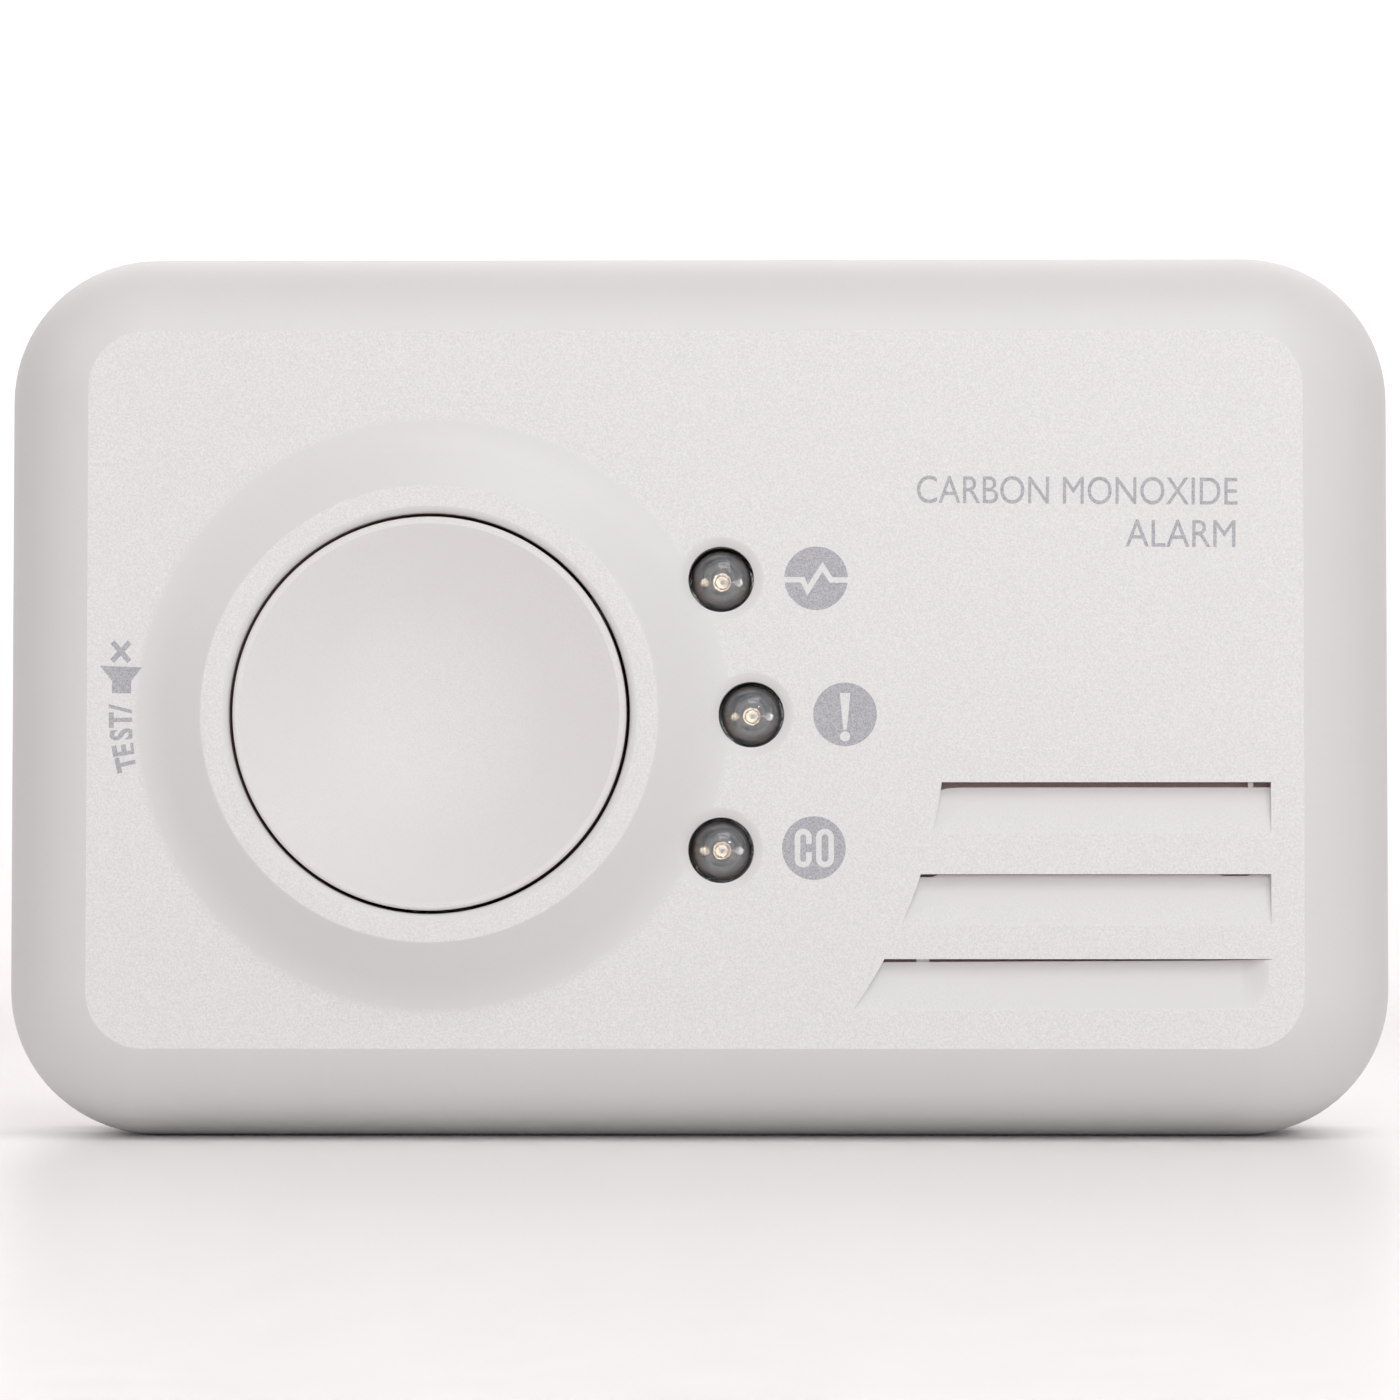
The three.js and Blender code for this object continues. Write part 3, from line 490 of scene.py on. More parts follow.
def moulded(name, colour, coarse, fine, roughness=0.45):
    """White moulding: spark-eroded and speckled where it looks along Y, smooth where it leans. Where it
    looks along Y it is also lighter, a painted sheen, and carries painted glints.

    coarse and fine are how strong the speckle is on the two finishes; coarse also sets how strong the
    painted glints are."""
    look = Look(name, colour, roughness)
    facing_y = look.math("ABSOLUTE", look.axes("Normal")["Y"])
    # faces along Y: where the real texture is, and where painted sheen and painted glints go
    flat = look.step(facing_y, 0.985, 0.998)
    grain = look.noise(SPARK_GRAIN_SIZE, **SPARK_GRAIN)
    speck = look.step(grain, 0.3, 0.7)
    cloud = look.step(look.noise(14.0), 0.3, 0.7)
    # painted glints: white specks that stand in for highlights off the texture where it faces the light
    painted_glints = look.step(look.noise(0.13, roughness=0.6), 0.62, 0.76)
    # painted sheen: the colour is lifted where the surface faces along Y
    matt = scaled(colour, 1.045)
    grain_and_sheen = look.mix(speck, scaled(matt, 1 - coarse), scaled(matt, 1 + coarse))
    grain_and_sheen = look.mix(look.math("MULTIPLY", painted_glints, 3.5 * coarse), grain_and_sheen, (1.0, 1.0, 1.0))
    smooth = look.mix(speck, scaled(colour, 1 - fine), scaled(colour, 1 + fine))
    smooth = look.mix(cloud, smooth, scaled(colour, 0.99))
    look.colour(look.mix(flat, smooth, grain_and_sheen))
    look.roughness(look.math("MULTIPLY_ADD", grain, 0.2, roughness - 0.1))
    texture_depth = look.math("MULTIPLY_ADD", flat, 0.85, 0.15)
    look.bump(look.math("MULTIPLY", grain, texture_depth), 0.02)
    return look.material


def plain(name, colour, roughness, grain=0.2, depth=0.01, vary=0.12, **settings):
    """A finish with a grain in its colour, gloss and surface."""
    look = Look(name, colour, roughness, **settings)
    noise = look.noise(grain, detail=3.0)
    look.colour(look.mix(noise, scaled(colour, 1 - vary), scaled(colour, 1 + vary)))
    glossy, matt = max(0.02, roughness - 0.08), min(1.0, roughness + 0.08)
    look.roughness(look.ramp(noise, [(0.2, glossy), (0.8, matt)]))
    look.bump(noise, depth)
    return look.material


def print_ink():
    """Grey pad print that breaks up on the texture below it."""
    look = Look("pad_print", (0.40, 0.40, 0.42), 0.5)
    speck = look.step(look.noise(0.11, roughness=0.6), 0.3, 0.7)
    look.colour(look.mix(speck, (0.29, 0.29, 0.315), (0.52, 0.52, 0.55)))
    look.bump(look.noise(SPARK_GRAIN_SIZE, **SPARK_GRAIN), 0.02)
    return look.material


def clear_epoxy():
    """Water-clear epoxy, a little cloudy, whose grey-blue is painted shade of the dark inside seen
    through it, with painted reflections of the cup and leads as faint white arcs that curve round the
    lamp's axis.
    """
    look = Look("clear_epoxy", (0.95, 0.97, 1.0), 0.03, transmission_weight=0.8, ior=1.53)
    place = look.axes("Generated")
    x, z = (look.math("SUBTRACT", place[axis], 0.5) for axis in "XZ")
    x2, z2 = (look.math("MULTIPLY", side, side) for side in (x, z))
    radius = look.math("SQRT", look.math("ADD", x2, z2))
    around = look.vector(look.math("MULTIPLY", radius, 7.0), x, z)
    # painted reflections of the cup and leads: white arcs round the lamp's axis, over the grey-blue
    # painted shade
    painted_reflections = look.step(look.noise(1 / 2.6, detail=4.0, vector=around), 0.36, 0.56)
    look.colour(look.mix(painted_reflections, (0.36, 0.42, 0.46), (1.0, 1.0, 1.0)))
    look.bump(look.step(look.noise(0.7, detail=3.0), 0.35, 0.65), 0.008)
    return look.material


def board_mask():
    """Solder mask over tracks that run along X and Z."""
    look = Look("board_mask", (0.02, 0.16, 0.06), 0.35)
    place = look.axes("Object")
    brick = look.nodes.new("ShaderNodeTexBrick")
    brick.inputs["Scale"].default_value = 260.0
    brick.inputs["Mortar Size"].default_value = 0.012
    look.link(look.vector(place["X"], place["Z"]), brick.inputs["Vector"])
    look.colour(look.mix(brick.outputs["Fac"], (0.012, 0.07, 0.03), (0.025, 0.14, 0.065)))
    look.bump(brick.outputs["Fac"], 0.03)
    return look.material


def label_film():
    look = Look("label_film", (0.78, 0.78, 0.79), 0.32)
    noise = look.noise(0.5)
    look.colour(look.mix(noise, (0.74, 0.74, 0.75), (0.8, 0.8, 0.81)))
    look.bump(noise, 0.004)
    return look.material


def cell_jacket():
    """Plain film, grey-green over most of the cell with a pale band towards the cap, then bare steel."""
    look = Look("cell_jacket", (0.12, 0.2, 0.18), 0.3, coat_weight=0.4)
    length = look.axes("Generated")["X"]
    paint = look.mix(look.step(length, 0.84, 0.85), (0.12, 0.2, 0.18), (0.6, 0.62, 0.6))
    look.colour(look.mix(look.step(length, 0.972, 0.976), paint, (0.6, 0.6, 0.6)))
    look.bump(look.noise(2.0), 0.01)
    return look.material


CASE_WHITE = moulded("case_plastic", (0.675, 0.668, 0.668), 0.1, 0.02)
REAR_WHITE = moulded("rear_plastic", (0.675, 0.668, 0.668), 0.06, 0.02)
BUTTON_WHITE = moulded("button_plastic", (0.675, 0.662, 0.653), 0.05, 0.035, roughness=0.42)
SHADED_WHITE = plain("plastic_in_shade", (0.45, 0.33, 0.31), 0.5, vary=0.25)
INK = print_ink()
EPOXY = clear_epoxy()
LEAD_FRAME = plain("lead_frame", (0.85, 0.93, 0.98), 0.5, depth=0.03, vary=0.4)
TINNED = plain("tinned_lead", (1.0, 0.98, 0.95), 0.42, vary=0.03, metallic=1.0)
CUP_METAL = plain("cup_metal", (1.0, 0.77, 0.58), 0.42, vary=0.08, metallic=1.0)
DIE = plain("led_die", (1.0, 1.0, 0.98), 0.3, grain=0.1, vary=0.03)
BLACK = plain("black_plastic", (0.025, 0.025, 0.028), 0.5)
BOARD = board_mask()
CAN_METAL = plain("can_metal", (0.62, 0.62, 0.64), 0.3, grain=0.6, vary=0.08, metallic=1.0)
BRASS = plain("brass_sheet", (0.78, 0.56, 0.22), 0.3, grain=0.8, metallic=1.0)
CERAMIC = plain("silvered_ceramic", (0.75, 0.73, 0.66), 0.5, grain=0.4)
COPPER = plain("enamelled_copper", (0.55, 0.2, 0.07), 0.35, grain=0.3, metallic=0.8)
FOAM = plain("cell_foam", (0.05, 0.05, 0.052), 0.95, grain=0.5, depth=0.2, vary=0.4)
SLEEVE = plain("capacitor_sleeve", (0.02, 0.03, 0.09), 0.25, grain=1.0)
NICKEL = plain("nickel_plate", (0.72, 0.7, 0.66), 0.28, grain=0.6, metallic=1.0)
ZINC = plain("zinc_plate", (0.62, 0.63, 0.65), 0.35, grain=0.3, metallic=1.0)
LABEL = label_film()
CELL = cell_jacket()


# ---- front cover ----


def ring_rise(r):
    """Height of the ring over the face: a rounded inner edge, a flat lip, a cone and a hollow fade."""
    lip = FACE_Y - LIP_Y
    fade = RING_END_R - CONE_END_R
    slope = lip / (CONE_END_R - LIP_OUTER_R + fade / 2)
    soft = 0.1
    past = r - (LIP_OUTER_R - soft)
    rise = np.where(past < 0, lip, lip - slope * past**2 / (4 * soft))
    rise = np.where(r > LIP_OUTER_R + soft, lip - slope * (r - LIP_OUTER_R), rise)
    rise = np.where(r > CONE_END_R, slope * (RING_END_R - r) ** 2 / (2 * fade), rise)
    rise = np.where(r > RING_END_R, 0.0, rise)
    into = np.clip((WELL_R + LIP_ROUND - r) / LIP_ROUND, 0, 0.995)
    return rise - LIP_ROUND * (1 - np.sqrt(1 - into**2))


def face_level(x, z):
    """Depth of the front face, with the ring and the soft dip round each lamp."""
    rise = ring_rise(np.hypot(x - BUTTON[0], z - BUTTON[1]))
    for cx, cz in LEDS.values():
        into = np.clip((LED_DIP_R - np.hypot(x - cx, z - cz)) / (LED_DIP_R - LED_HOLE_R), 0, 1.2)
        rise = rise - LED_DIP_DEPTH * into**2
    return FACE_Y - rise


def face_samples():
    """Points where the front face curves: on circles, and at the end of the lowest louvre."""
    into = np.sin(np.radians(np.linspace(12, 90, 9)))
    radii = np.concatenate([
        WELL_R + LIP_ROUND * (1 - into), [WELL_R + LIP_ROUND + 0.05, 18.0, LIP_OUTER_R - 0.11],
        LIP_OUTER_R + np.linspace(-0.08, 0.1, 5), [19.4, 20.4, 21.3],
        np.linspace(CONE_END_R, RING_END_R, 9), [RING_END_R + 0.1],
    ])
    rings = np.vstack([circle(BUTTON, r, 180) for r in radii if r > WELL_R + 0.005])
    for centre in LEDS.values():
        rings = rings[np.hypot(*(rings - centre).T) > LED_DIP_R + 0.25]
    dip_radii = np.linspace(LED_HOLE_R + 0.06, LED_DIP_R + 0.1, 8)
    dips = np.vstack([circle(c, r) for c in LEDS.values() for r in dip_radii])
    low, high = LOUVRE_TOPS[2] - LOUVRE_HEIGHT + 0.3, LOUVRE_TOPS[2] - 0.25
    end = np.mgrid[LOUVRE_RIGHT_X - LOUVRE_FADE:LOUVRE_RIGHT_X - 0.1:0.25, low:high:0.4].reshape(2, -1).T
    return [rings, dips, end]


RIBS = {0: (56, 57), 2: (5, 7)}  # louvre and the steps of its length between which a rib crosses its slit


def slit_gap(k, share):
    """Height of the slit of louvre k at a share of its length from the left."""
    if k == 0:
        return 0.42 + 0.22 * math.exp(-share / 0.02)
    if k == 1:
        return 0.24 if share < 0.05 else 0.13 if 0.86 < share < 0.94 else 0.025
    return 0.27 - 0.17 * share - 0.07 * max(0.0, share - 0.85) / 0.15


def louvre_zones(k):
    """The ramp of a louvre, the slit along its top edge with a floor of painted shade behind it, and the
    ribs that cross the slit.
    """
    top = LOUVRE_TOPS[k]
    bottom = top - LOUVRE_HEIGHT

    def left(z):
        return BUTTON[0] + math.sqrt(LOUVRE_ARC_R**2 - (z - BUTTON[1]) ** 2)

    def ramp(x, z):
        share = np.clip((z - bottom) / LOUVRE_HEIGHT, 0, 1)
        if k == 2:
            rise = np.clip((LOUVRE_RIGHT_X - x) / LOUVRE_FADE, 0, 1)
            share = share * rise**2 * (3 - 2 * rise)
        return FACE_Y + LOUVRE_DEPTH * share

    steps = 60
    start = left(top)
    shares = np.linspace(0, 1, steps + 1)
    xs = start + shares * (LOUVRE_RIGHT_X - start)
    gaps = np.array([slit_gap(k, s) for s in shares])
    upper = np.stack([xs, np.full(steps + 1, top)], 1)
    lower = np.stack([xs, top - gaps], 1)
    lower[0, 0] = left(top - gaps[0])
    side = [(left(z), z) for z in np.linspace(top - gaps[0], bottom, 7)]
    outline = np.vstack([side, [(LOUVRE_RIGHT_X, bottom)], lower[-1:], upper[::-1]])
    slit = np.vstack([lower, upper[::-1]])
    # the slit's floor takes finish 1, painted shade
    zones = [(outline, ramp, LOUVRE_PAD_Y), (slit, SLIT_SHADE_FLOOR_Y, LOUVRE_PAD_Y, 1)]
    if k in RIBS:
        first, last = RIBS[k]
        rib = np.vstack([lower[first:last + 1], upper[first:last + 1][::-1]])
        zones.append((rib, FACE_Y + LOUVRE_DEPTH + 0.1, LOUVRE_PAD_Y))
    return zones


def bezel_rows(depth, steps=18):
    """Rows of the rolled bezel, front to back, lying depth under its outside, with their normals."""
    roll = BEZEL_END_Y - FACE_Y
    inset = (WIDTH - FACE_WIDTH) / 2
    share = math.tan(BEZEL_EDGE_SLOPE) * inset / roll
    edge = math.acos(share / (1 - share))
    across, along = inset / (1 - math.cos(edge)), roll / math.sin(edge)
    rows, normals = [], []
    for k in range(steps + 1):
        angle = edge * (1 - k / steps)
        rolled = (1 - math.cos(angle)) / (1 - math.cos(edge))
        lean = np.array([math.cos(angle) / across, math.sin(angle) / along])
        lean = lean / np.hypot(*lean)
        points, out = rounded(
            WIDTH - rolled * (WIDTH - FACE_WIDTH) - 2 * depth * lean[0],
            HEIGHT - rolled * (HEIGHT - FACE_HEIGHT) - 2 * depth * lean[0],
            CORNER_R - rolled * (CORNER_R - FACE_CORNER_R) - depth * lean[0],
        )
        rows.append(at(points, BEZEL_END_Y - along * math.sin(angle) + depth * lean[1]))
        normals.append(tilt(out, lean[0], -lean[1]))
    return rows, normals


def case_outline(inset):
    return rounded(WIDTH - 2 * inset, HEIGHT - 2 * inset, CORNER_R - inset)


def side_strip(skin, rows, outline=case_outline):
    """A strip through rows of (y, inset, across, along): the outline at that place, and its tilt."""
    points, normals = [], []
    for y, inset, across, along in rows:
        loop, out = outline(inset)
        points.append(at(loop, y))
        normals.append(tilt(out, across, along))
    strip(skin, points, normals)


def round_edge(y, way, deep, inset, angles):
    """Rows for side_strip round the edge of a side that ends at y. The end faces way along Y."""
    return [
        (y - way * deep * (1 - s), inset * (1 - c), c / inset, way * s / deep)
        for s, c in zip(np.sin(np.radians(angles)), np.cos(np.radians(angles)))
    ]


def front_cover():
    skin = Skin()
    edge, _ = rounded(FACE_WIDTH, FACE_HEIGHT, FACE_CORNER_R)
    inner = FACE_Y + WALL
    pad = rectangle(14.5, LOUVRE_RIGHT_X + 1.5, LOUVRE_TOPS[2] - LOUVRE_HEIGHT - 1, LOUVRE_TOPS[0] + 2)
    zones = [
        (circle(BUTTON, WELL_R + WALL, 180), face_level, WELL_END_Y),
        (circle(BUTTON, WELL_R, 180), None, None),
        (pad, face_level, LOUVRE_PAD_Y),
    ]
    zones += [(circle(centre, LED_HOLE_R), None, None) for centre in LEDS.values()]
    for k in range(len(LOUVRE_TOPS)):
        zones += louvre_zones(k)
    relief(skin, edge, (face_level, inner), zones, -1, face_samples(), inner_finish=1)
    rows, normals = bezel_rows(0.0)
    strip(skin, rows, normals)
    side_strip(skin, [(BEZEL_END_Y, 0, 1, 0), (SPLIT_Y - EDGE_R, 0, 1, 0)])
    side_strip(skin, round_edge(SPLIT_Y, 1, EDGE_R, EDGE_R, np.linspace(0, 90, 5)))
    side_strip(skin, [(SPLIT_Y, EDGE_R, 0, 1), (SPLIT_Y, WALL, 0, 1)])
    side_strip(skin, [(SPLIT_Y, WALL, -1, 0), (BEZEL_END_Y, WALL, -1, 0)])
    rows, normals = bezel_rows(WALL, steps=8)
    rows.insert(0, at(edge, inner))
    normals.insert(0, normals[0])
    strip(skin, rows, -np.array(normals), finish=1)
    skin.build("front_cover_skin", (CASE_WHITE, SHADED_WHITE), "case", "case_plastic", ["front_cover"])


# ---- rear cover and battery door ----


def keyhole_loop(x):
    """Entry circle with a narrower slot that rises from it."""
    z, entry_r, slot_r, rise = 25.0, 4.4, 2.2, 8.0
    meet = math.degrees(math.acos(slot_r / entry_r))
    entry = arc(x, z, entry_r, entry_r, 180 - meet, 360 + meet, 40)
    return np.vstack([entry, arc(x, z + rise, slot_r, slot_r, 0, 180, 20)])


def rear_cover():
    skin = Skin()
    back_round, back_inset = 1.6, 1.8
    rim_y, under_y = SPLIT_Y + GAP, BACK_Y - WALL
    screws = [centre_of(f"case_screw_{k}") for k in (1, 2, 3, 4)]
    post_end_y, post_r, head_r, shank_r = 9.3, 3.3, 2.9, 1.6
    tongue_end_y = SPLIT_Y - 1.6  # the rim that goes into the front cover
    bay_wall, bay_under, divider_y = 1.5, BAY_FLOOR_Y - 1.2, 1.5
    finger_y, pocket_y, hanger_x, slot_pitch = 15.8, 14.1, 40.0, 4
    seat_x0, seat_x1 = DOOR_X0 - GAP, DOOR_X1 + GAP
    seat_top, bevel, bevel_depth = DOOR_Z1 + GAP, 0.57, 0.5

    def swing_bevel(_, z):
        return BACK_Y - bevel_depth + (z - seat_top) * bevel_depth / bevel

    def add(loop, outer, inner):
        zones.append((loop, outer, inner))

    zones = []
    add(case_outline(WALL + EDGE_R)[0], BACK_Y, tongue_end_y)
    add(case_outline(2 * WALL - 0.5)[0], BACK_Y, under_y)
    for centre in screws:
        add(circle(centre, post_r), BACK_Y, post_end_y)
    around_bay = (BAY_X0 - bay_wall, BAY_X1 + bay_wall, BAY_Z0 - bay_wall, BAY_Z1 + 2)
    add(rectangle(*around_bay), BACK_Y, bay_under)
    add(rounded(14, 7, 2, DOOR_X, DOOR_Z0 - 1, steps=8)[0], finger_y, 13.4)
    add(rectangle(seat_x0, seat_x1, seat_top, seat_top + bevel), swing_bevel, bay_under)
    add(rectangle(seat_x0, seat_x1, DOOR_Z0 - GAP, seat_top), DOOR_Y - 0.1, bay_under)
    half, pocket_top = KNUCKLE_LENGTH / 2 + GAP, HINGE_Z + KNUCKLE_R + GAP
    for x in KNUCKLE_XS:
        add(rectangle(x - half, x + half, DOOR_Z1 - 0.5, pocket_top), pocket_y, bay_under)
    reach = LATCH_HALF + GAP
    latch_room = rectangle(DOOR_X - reach, DOOR_X + reach, DOOR_Z0 - 1.2, DOOR_Z0 + 2)
    add(latch_room, LATCH_Y - GAP, bay_under)
    add(rectangle(BAY_X0, BAY_X1, BAY_Z0, BAY_Z1), BAY_FLOOR_Y, bay_under)
    middle = (BAY_Z0 + BAY_Z1) / 2
    add(rectangle(BAY_X0 + 8, BAY_X1 - 8, middle - 0.5, middle + 0.5), divider_y, bay_under)
    for x in (-hanger_x, hanger_x):
        add(keyhole_loop(x), None, None)
    sensor_x, sensor_z = centre_of("co_sensor_can")
    for k in range(-2, 3):
        add(rounded(18, 1.6, 0.79, sensor_x, sensor_z + k * slot_pitch, steps=8)[0], None, None)
    for centre in screws:
        add(circle(centre, head_r), SCREW_SEAT_Y, post_end_y)
    for centre in screws:
        add(circle(centre, shank_r, 24), None, None)
    add(rounded(56, 22, 1.5, LABEL_X, LABEL_Z, steps=8)[0], BACK_Y - 0.25, under_y)
    relief(skin, case_outline(back_inset)[0], (BACK_Y, rim_y), zones, 1)
    side_strip(skin, round_edge(BACK_Y, 1, back_round, back_inset, np.linspace(90, 0, 11)))
    side_strip(skin, [(BACK_Y - back_round, 0, 1, 0), (rim_y + EDGE_R, 0, 1, 0)])
    side_strip(skin, round_edge(rim_y, -1, EDGE_R, EDGE_R, np.linspace(0, 90, 5)))
    side_strip(skin, [(rim_y, EDGE_R, 0, -1), (rim_y, back_inset, 0, -1)])
    skin.build("rear_cover_skin", REAR_WHITE, "case", "case_plastic", ["rear_cover"])


def plate(name, look, around, zones, outward, samples=()):
    """A thin piece on the case: zones on empty ground, whose x0, x1, z0 and z1 are in around."""
    skin = Skin()
    relief(skin, rectangle(*around), (None, None), zones, outward, samples)
    skin.build(name, look, "case", "case_plastic")


def blank_label():
    """A blank label in its shallow recess."""
    loop, _ = rounded(55.4, 21.4, 1.3, LABEL_X, LABEL_Z, steps=8)
    around = (LABEL_X - 40, LABEL_X + 40, LABEL_Z - 14, LABEL_Z + 14)
    plate("blank_label", LABEL, around, [(loop, BACK_Y - 0.15, BACK_Y - 0.24)], 1)


def battery_door():
    """The door, with three grip grooves, two knuckles with their pins, and the latch."""
    skin = Skin()
    edge = 0.3

    def outline(inset):
        width, height = DOOR_X1 - DOOR_X0, DOOR_Z1 - DOOR_Z0
        return rounded(width - 2 * inset, height - 2 * inset, 1 - inset, DOOR_X, DOOR_Z, steps=8)

    grooves = [rounded(12, 0.8, 0.39, DOOR_X, DOOR_Z0 + 3.4 + 1.6 * k, steps=6)[0] for k in range(3)]
    zones = [(loop, BACK_Y - 0.5, DOOR_Y) for loop in grooves]
    relief(skin, outline(edge)[0], (BACK_Y, DOOR_Y), zones, 1)
    side_strip(skin, round_edge(BACK_Y, 1, edge, edge, np.linspace(90, 0, 6)), outline)
    side_strip(skin, [(BACK_Y - edge, 0, 1, 0), (DOOR_Y, 0, 1, 0)], outline)
    side_strip(skin, [(DOOR_Y, 0, 0, -1), (DOOR_Y, edge, 0, -1)], outline)
    root_y = BACK_Y - 0.4
    half, pin_r = KNUCKLE_LENGTH / 2, 0.7
    pin = half + 1.2
    for x in KNUCKLE_XS:
        profile = [
            (0, x - pin), (pin_r, x - pin), (pin_r, x - half), (KNUCKLE_R, x - half),
            (KNUCKLE_R, x + half), (pin_r, x + half), (pin_r, x + pin), (0, x + pin),
        ]
        lathe(skin, crisp(profile), np.array([HINGE_Y, HINGE_Z]), 32, axis="x")
        block(skin, (x - half, DOOR_Y, DOOR_Z1 - 0.5), (x + half, root_y, HINGE_Z))
    latch_foot = (DOOR_X - LATCH_HALF, LATCH_Y, DOOR_Z0 - 0.6)
    block(skin, latch_foot, (DOOR_X + LATCH_HALF, root_y, DOOR_Z0 + 1.4))
    skin.build("battery_door_skin", REAR_WHITE, "door", "case_plastic", ["battery_door"])


# ---- button ----


def sector(skin, profile, centre, middle, spread):
    """A closed profile of (radius, y), turned through part of a circle, with both ends capped."""
    profile = np.array(profile, float)
    angles = np.radians(np.linspace(middle - spread / 2, middle + spread / 2, 9))
    r, y = profile.T
    rows = np.array([
        np.stack([centre[0] + r * math.cos(a), y, centre[1] + r * math.sin(a)], 1) for a in angles
    ])
    for k in range(len(profile)):
        nxt = (k + 1) % len(profile)
        dr, dy = profile[nxt] - profile[k]
        size = math.hypot(dr, dy)
        normals = [[dy / size * math.cos(a), -dr / size, dy / size * math.sin(a)] for a in angles]
        strip(skin, rows[:, [k, nxt]].transpose(1, 0, 2), [normals, normals], closed=False)
    for row, angle, side in ((rows[0], angles[0], -1), (rows[-1], angles[-1], 1)):
        normal = np.array([-math.sin(angle), 0, math.cos(angle)]) * side
        fan = [[0, i, i + 1] for i in range(1, len(profile) - 1)]
        skin.add(row, fan, np.tile(normal, (len(profile), 1)))


def test_button():
    """A shallow dish inside a narrow rim with a rounded edge. Three hooks hold it in the well."""
    skin = Skin()
    rim_y, edge = LIP_Y + 0.2, 0.24
    dish_r, dish_depth = BUTTON_R - 0.75, 2.1
    dish = [(r, rim_y + 0.04 + dish_depth * (1 - (r / dish_r) ** 2)) for r in np.linspace(0, dish_r, 26)]
    roll = arc(BUTTON_R - edge, rim_y + edge, edge, edge, -90, 0, 8).tolist()
    crown = [dish[-1], (dish_r + 0.1, rim_y + 0.01), (dish_r + 0.2, rim_y), roll[0]]
    lathe(skin, [dish, crown, roll], BUTTON, 192)
    foot_y, inner_r, stem_r, stem_end_y = -10.9, BUTTON_R - 1.4, 2.5, -10.5
    lathe(skin, crisp([
        (BUTTON_R, rim_y + edge), (BUTTON_R, foot_y), (inner_r, foot_y), (inner_r, -13.8),
        (stem_r, -13.6), (stem_r, stem_end_y), (0, stem_end_y),
    ]), BUTTON, 192, finish=1)
    leg_y, hook_y, hook_end_y = -11.3, WELL_END_Y + GAP, -7.1
    leg = [
        (inner_r, leg_y), (BUTTON_R, leg_y), (BUTTON_R, hook_y), (BUTTON_R + 1.1, hook_y),
        (BUTTON_R + 0.2, hook_end_y), (inner_r, hook_end_y),
    ]
    for middle in (30, 150, 270):
        sector(skin, leg, BUTTON, middle, 19)
    finishes = (BUTTON_WHITE, SHADED_WHITE)
    skin.build("test_button_skin", finishes, "button", "button_plastic", ["test_button"])


# ---- indicator lamps ----


def led(name):
    """A clear lamp with the cup, chip, bond wire and posts that show through it."""
    low, high = node_box(f"led_{name}_lens")
    tip, base = low[1], high[1]
    flange_r, flange_y = 2.85, base - 1
    lens = Skin()
    dome = arc(0, tip + LED_R, LED_R, LED_R, -90, 0, 20).tolist()
    flange = crisp([(LED_R, flange_y), (flange_r, flange_y), (flange_r, base), (0, base)])
    centre = x, z = LEDS[name]
    lathe(lens, [dome + [(LED_R, flange_y)]] + flange, centre, 64)
    lens.build(f"led_{name}_body", EPOXY, "case", "led_epoxy", [f"led_{name}_lens"])

    cup_y, cup_r, post_r, post_x = tip + 3.3, 0.4, 0.23, 0.74
    cup_floor, stem_y, post_y, link_y = cup_y + 0.12, cup_y + 0.2, cup_y + 0.05, base - 1.6
    sunk = link_y + 0.1
    foot = node_box(f"led_{name}_cathode")[1][1]
    post = [[(0, post_y), (0.16, post_y), (post_r, cup_floor), (post_r, sunk)]]
    post += crisp([(post_r, sunk), (0, sunk)])

    def lead(skin, side, link, leg):
        """A post, the link behind it and the leg that runs to the board. link and leg are spans of X."""
        lathe(skin, post, (x + side * post_x, z), 20)
        block(skin, (x + link[0], link_y, z - 0.25), (x + link[1], link_y + 0.5, z + 0.25))
        block(skin, (x + leg[0], link_y + 0.3, z - 0.23), (x + leg[1], foot, z + 0.23))

    cathode = Skin()
    cup = [(0.0, cup_floor), (0.26, cup_floor), (0.33, cup_y), (cup_r, cup_y), (cup_r, stem_y)]
    lathe(cathode, crisp(cup), centre, 40)
    lathe(cathode, crisp([(cup_r, stem_y), (cup_r, sunk), (0, sunk)]), centre, 40, finish=1)
    lead(cathode, -1, (-1.52, 0.3), (-1.5, -1.04))
    finishes = (CUP_METAL, LEAD_FRAME)
    cathode.build(f"led_{name}_cup", finishes, "case", "lead_metal", [f"led_{name}_cathode"])

    anode = Skin()
    lead(anode, 1, (0.52, 1.52), (1.04, 1.5))
    anode.build(f"led_{name}_post", TINNED, "case", "lead_metal", [f"led_{name}_anode"])

    chip, half = Skin(), 0.09
    block(chip, (x - half, cup_y + 0.03, z - half), (x + half, cup_y + 0.11, z + half))
    wire, wire_r = arc(x + post_x / 2, cup_y + 0.04, post_x / 2, 0.24, 180, 360, 12), 0.02
    for a, b in zip(wire[:-1], wire[1:]):
        (x0, y0), (x1, y1) = np.minimum(a, b), np.maximum(a, b)
        block(chip, (x0, y0 - wire_r, z - wire_r), (x1 + wire_r, y1 + wire_r, z + wire_r))
    chip.build(f"led_{name}_chip", DIE, "case", "lead_metal")


# ---- print on the front ----

INK_TOP_Y = FACE_Y - 0.012
INK_UNDER_Y = FACE_Y + 0.02
PRINT_TURN = math.radians(-0.4)
TITLE_SIZE = 3.27
ICON_R = 2.63
ICONS = {"power": (10.06, MID_Z + 9.13), "fault": (12.45, MID_Z - 2.14), "alarm": (9.87, MID_Z - 13.19)}


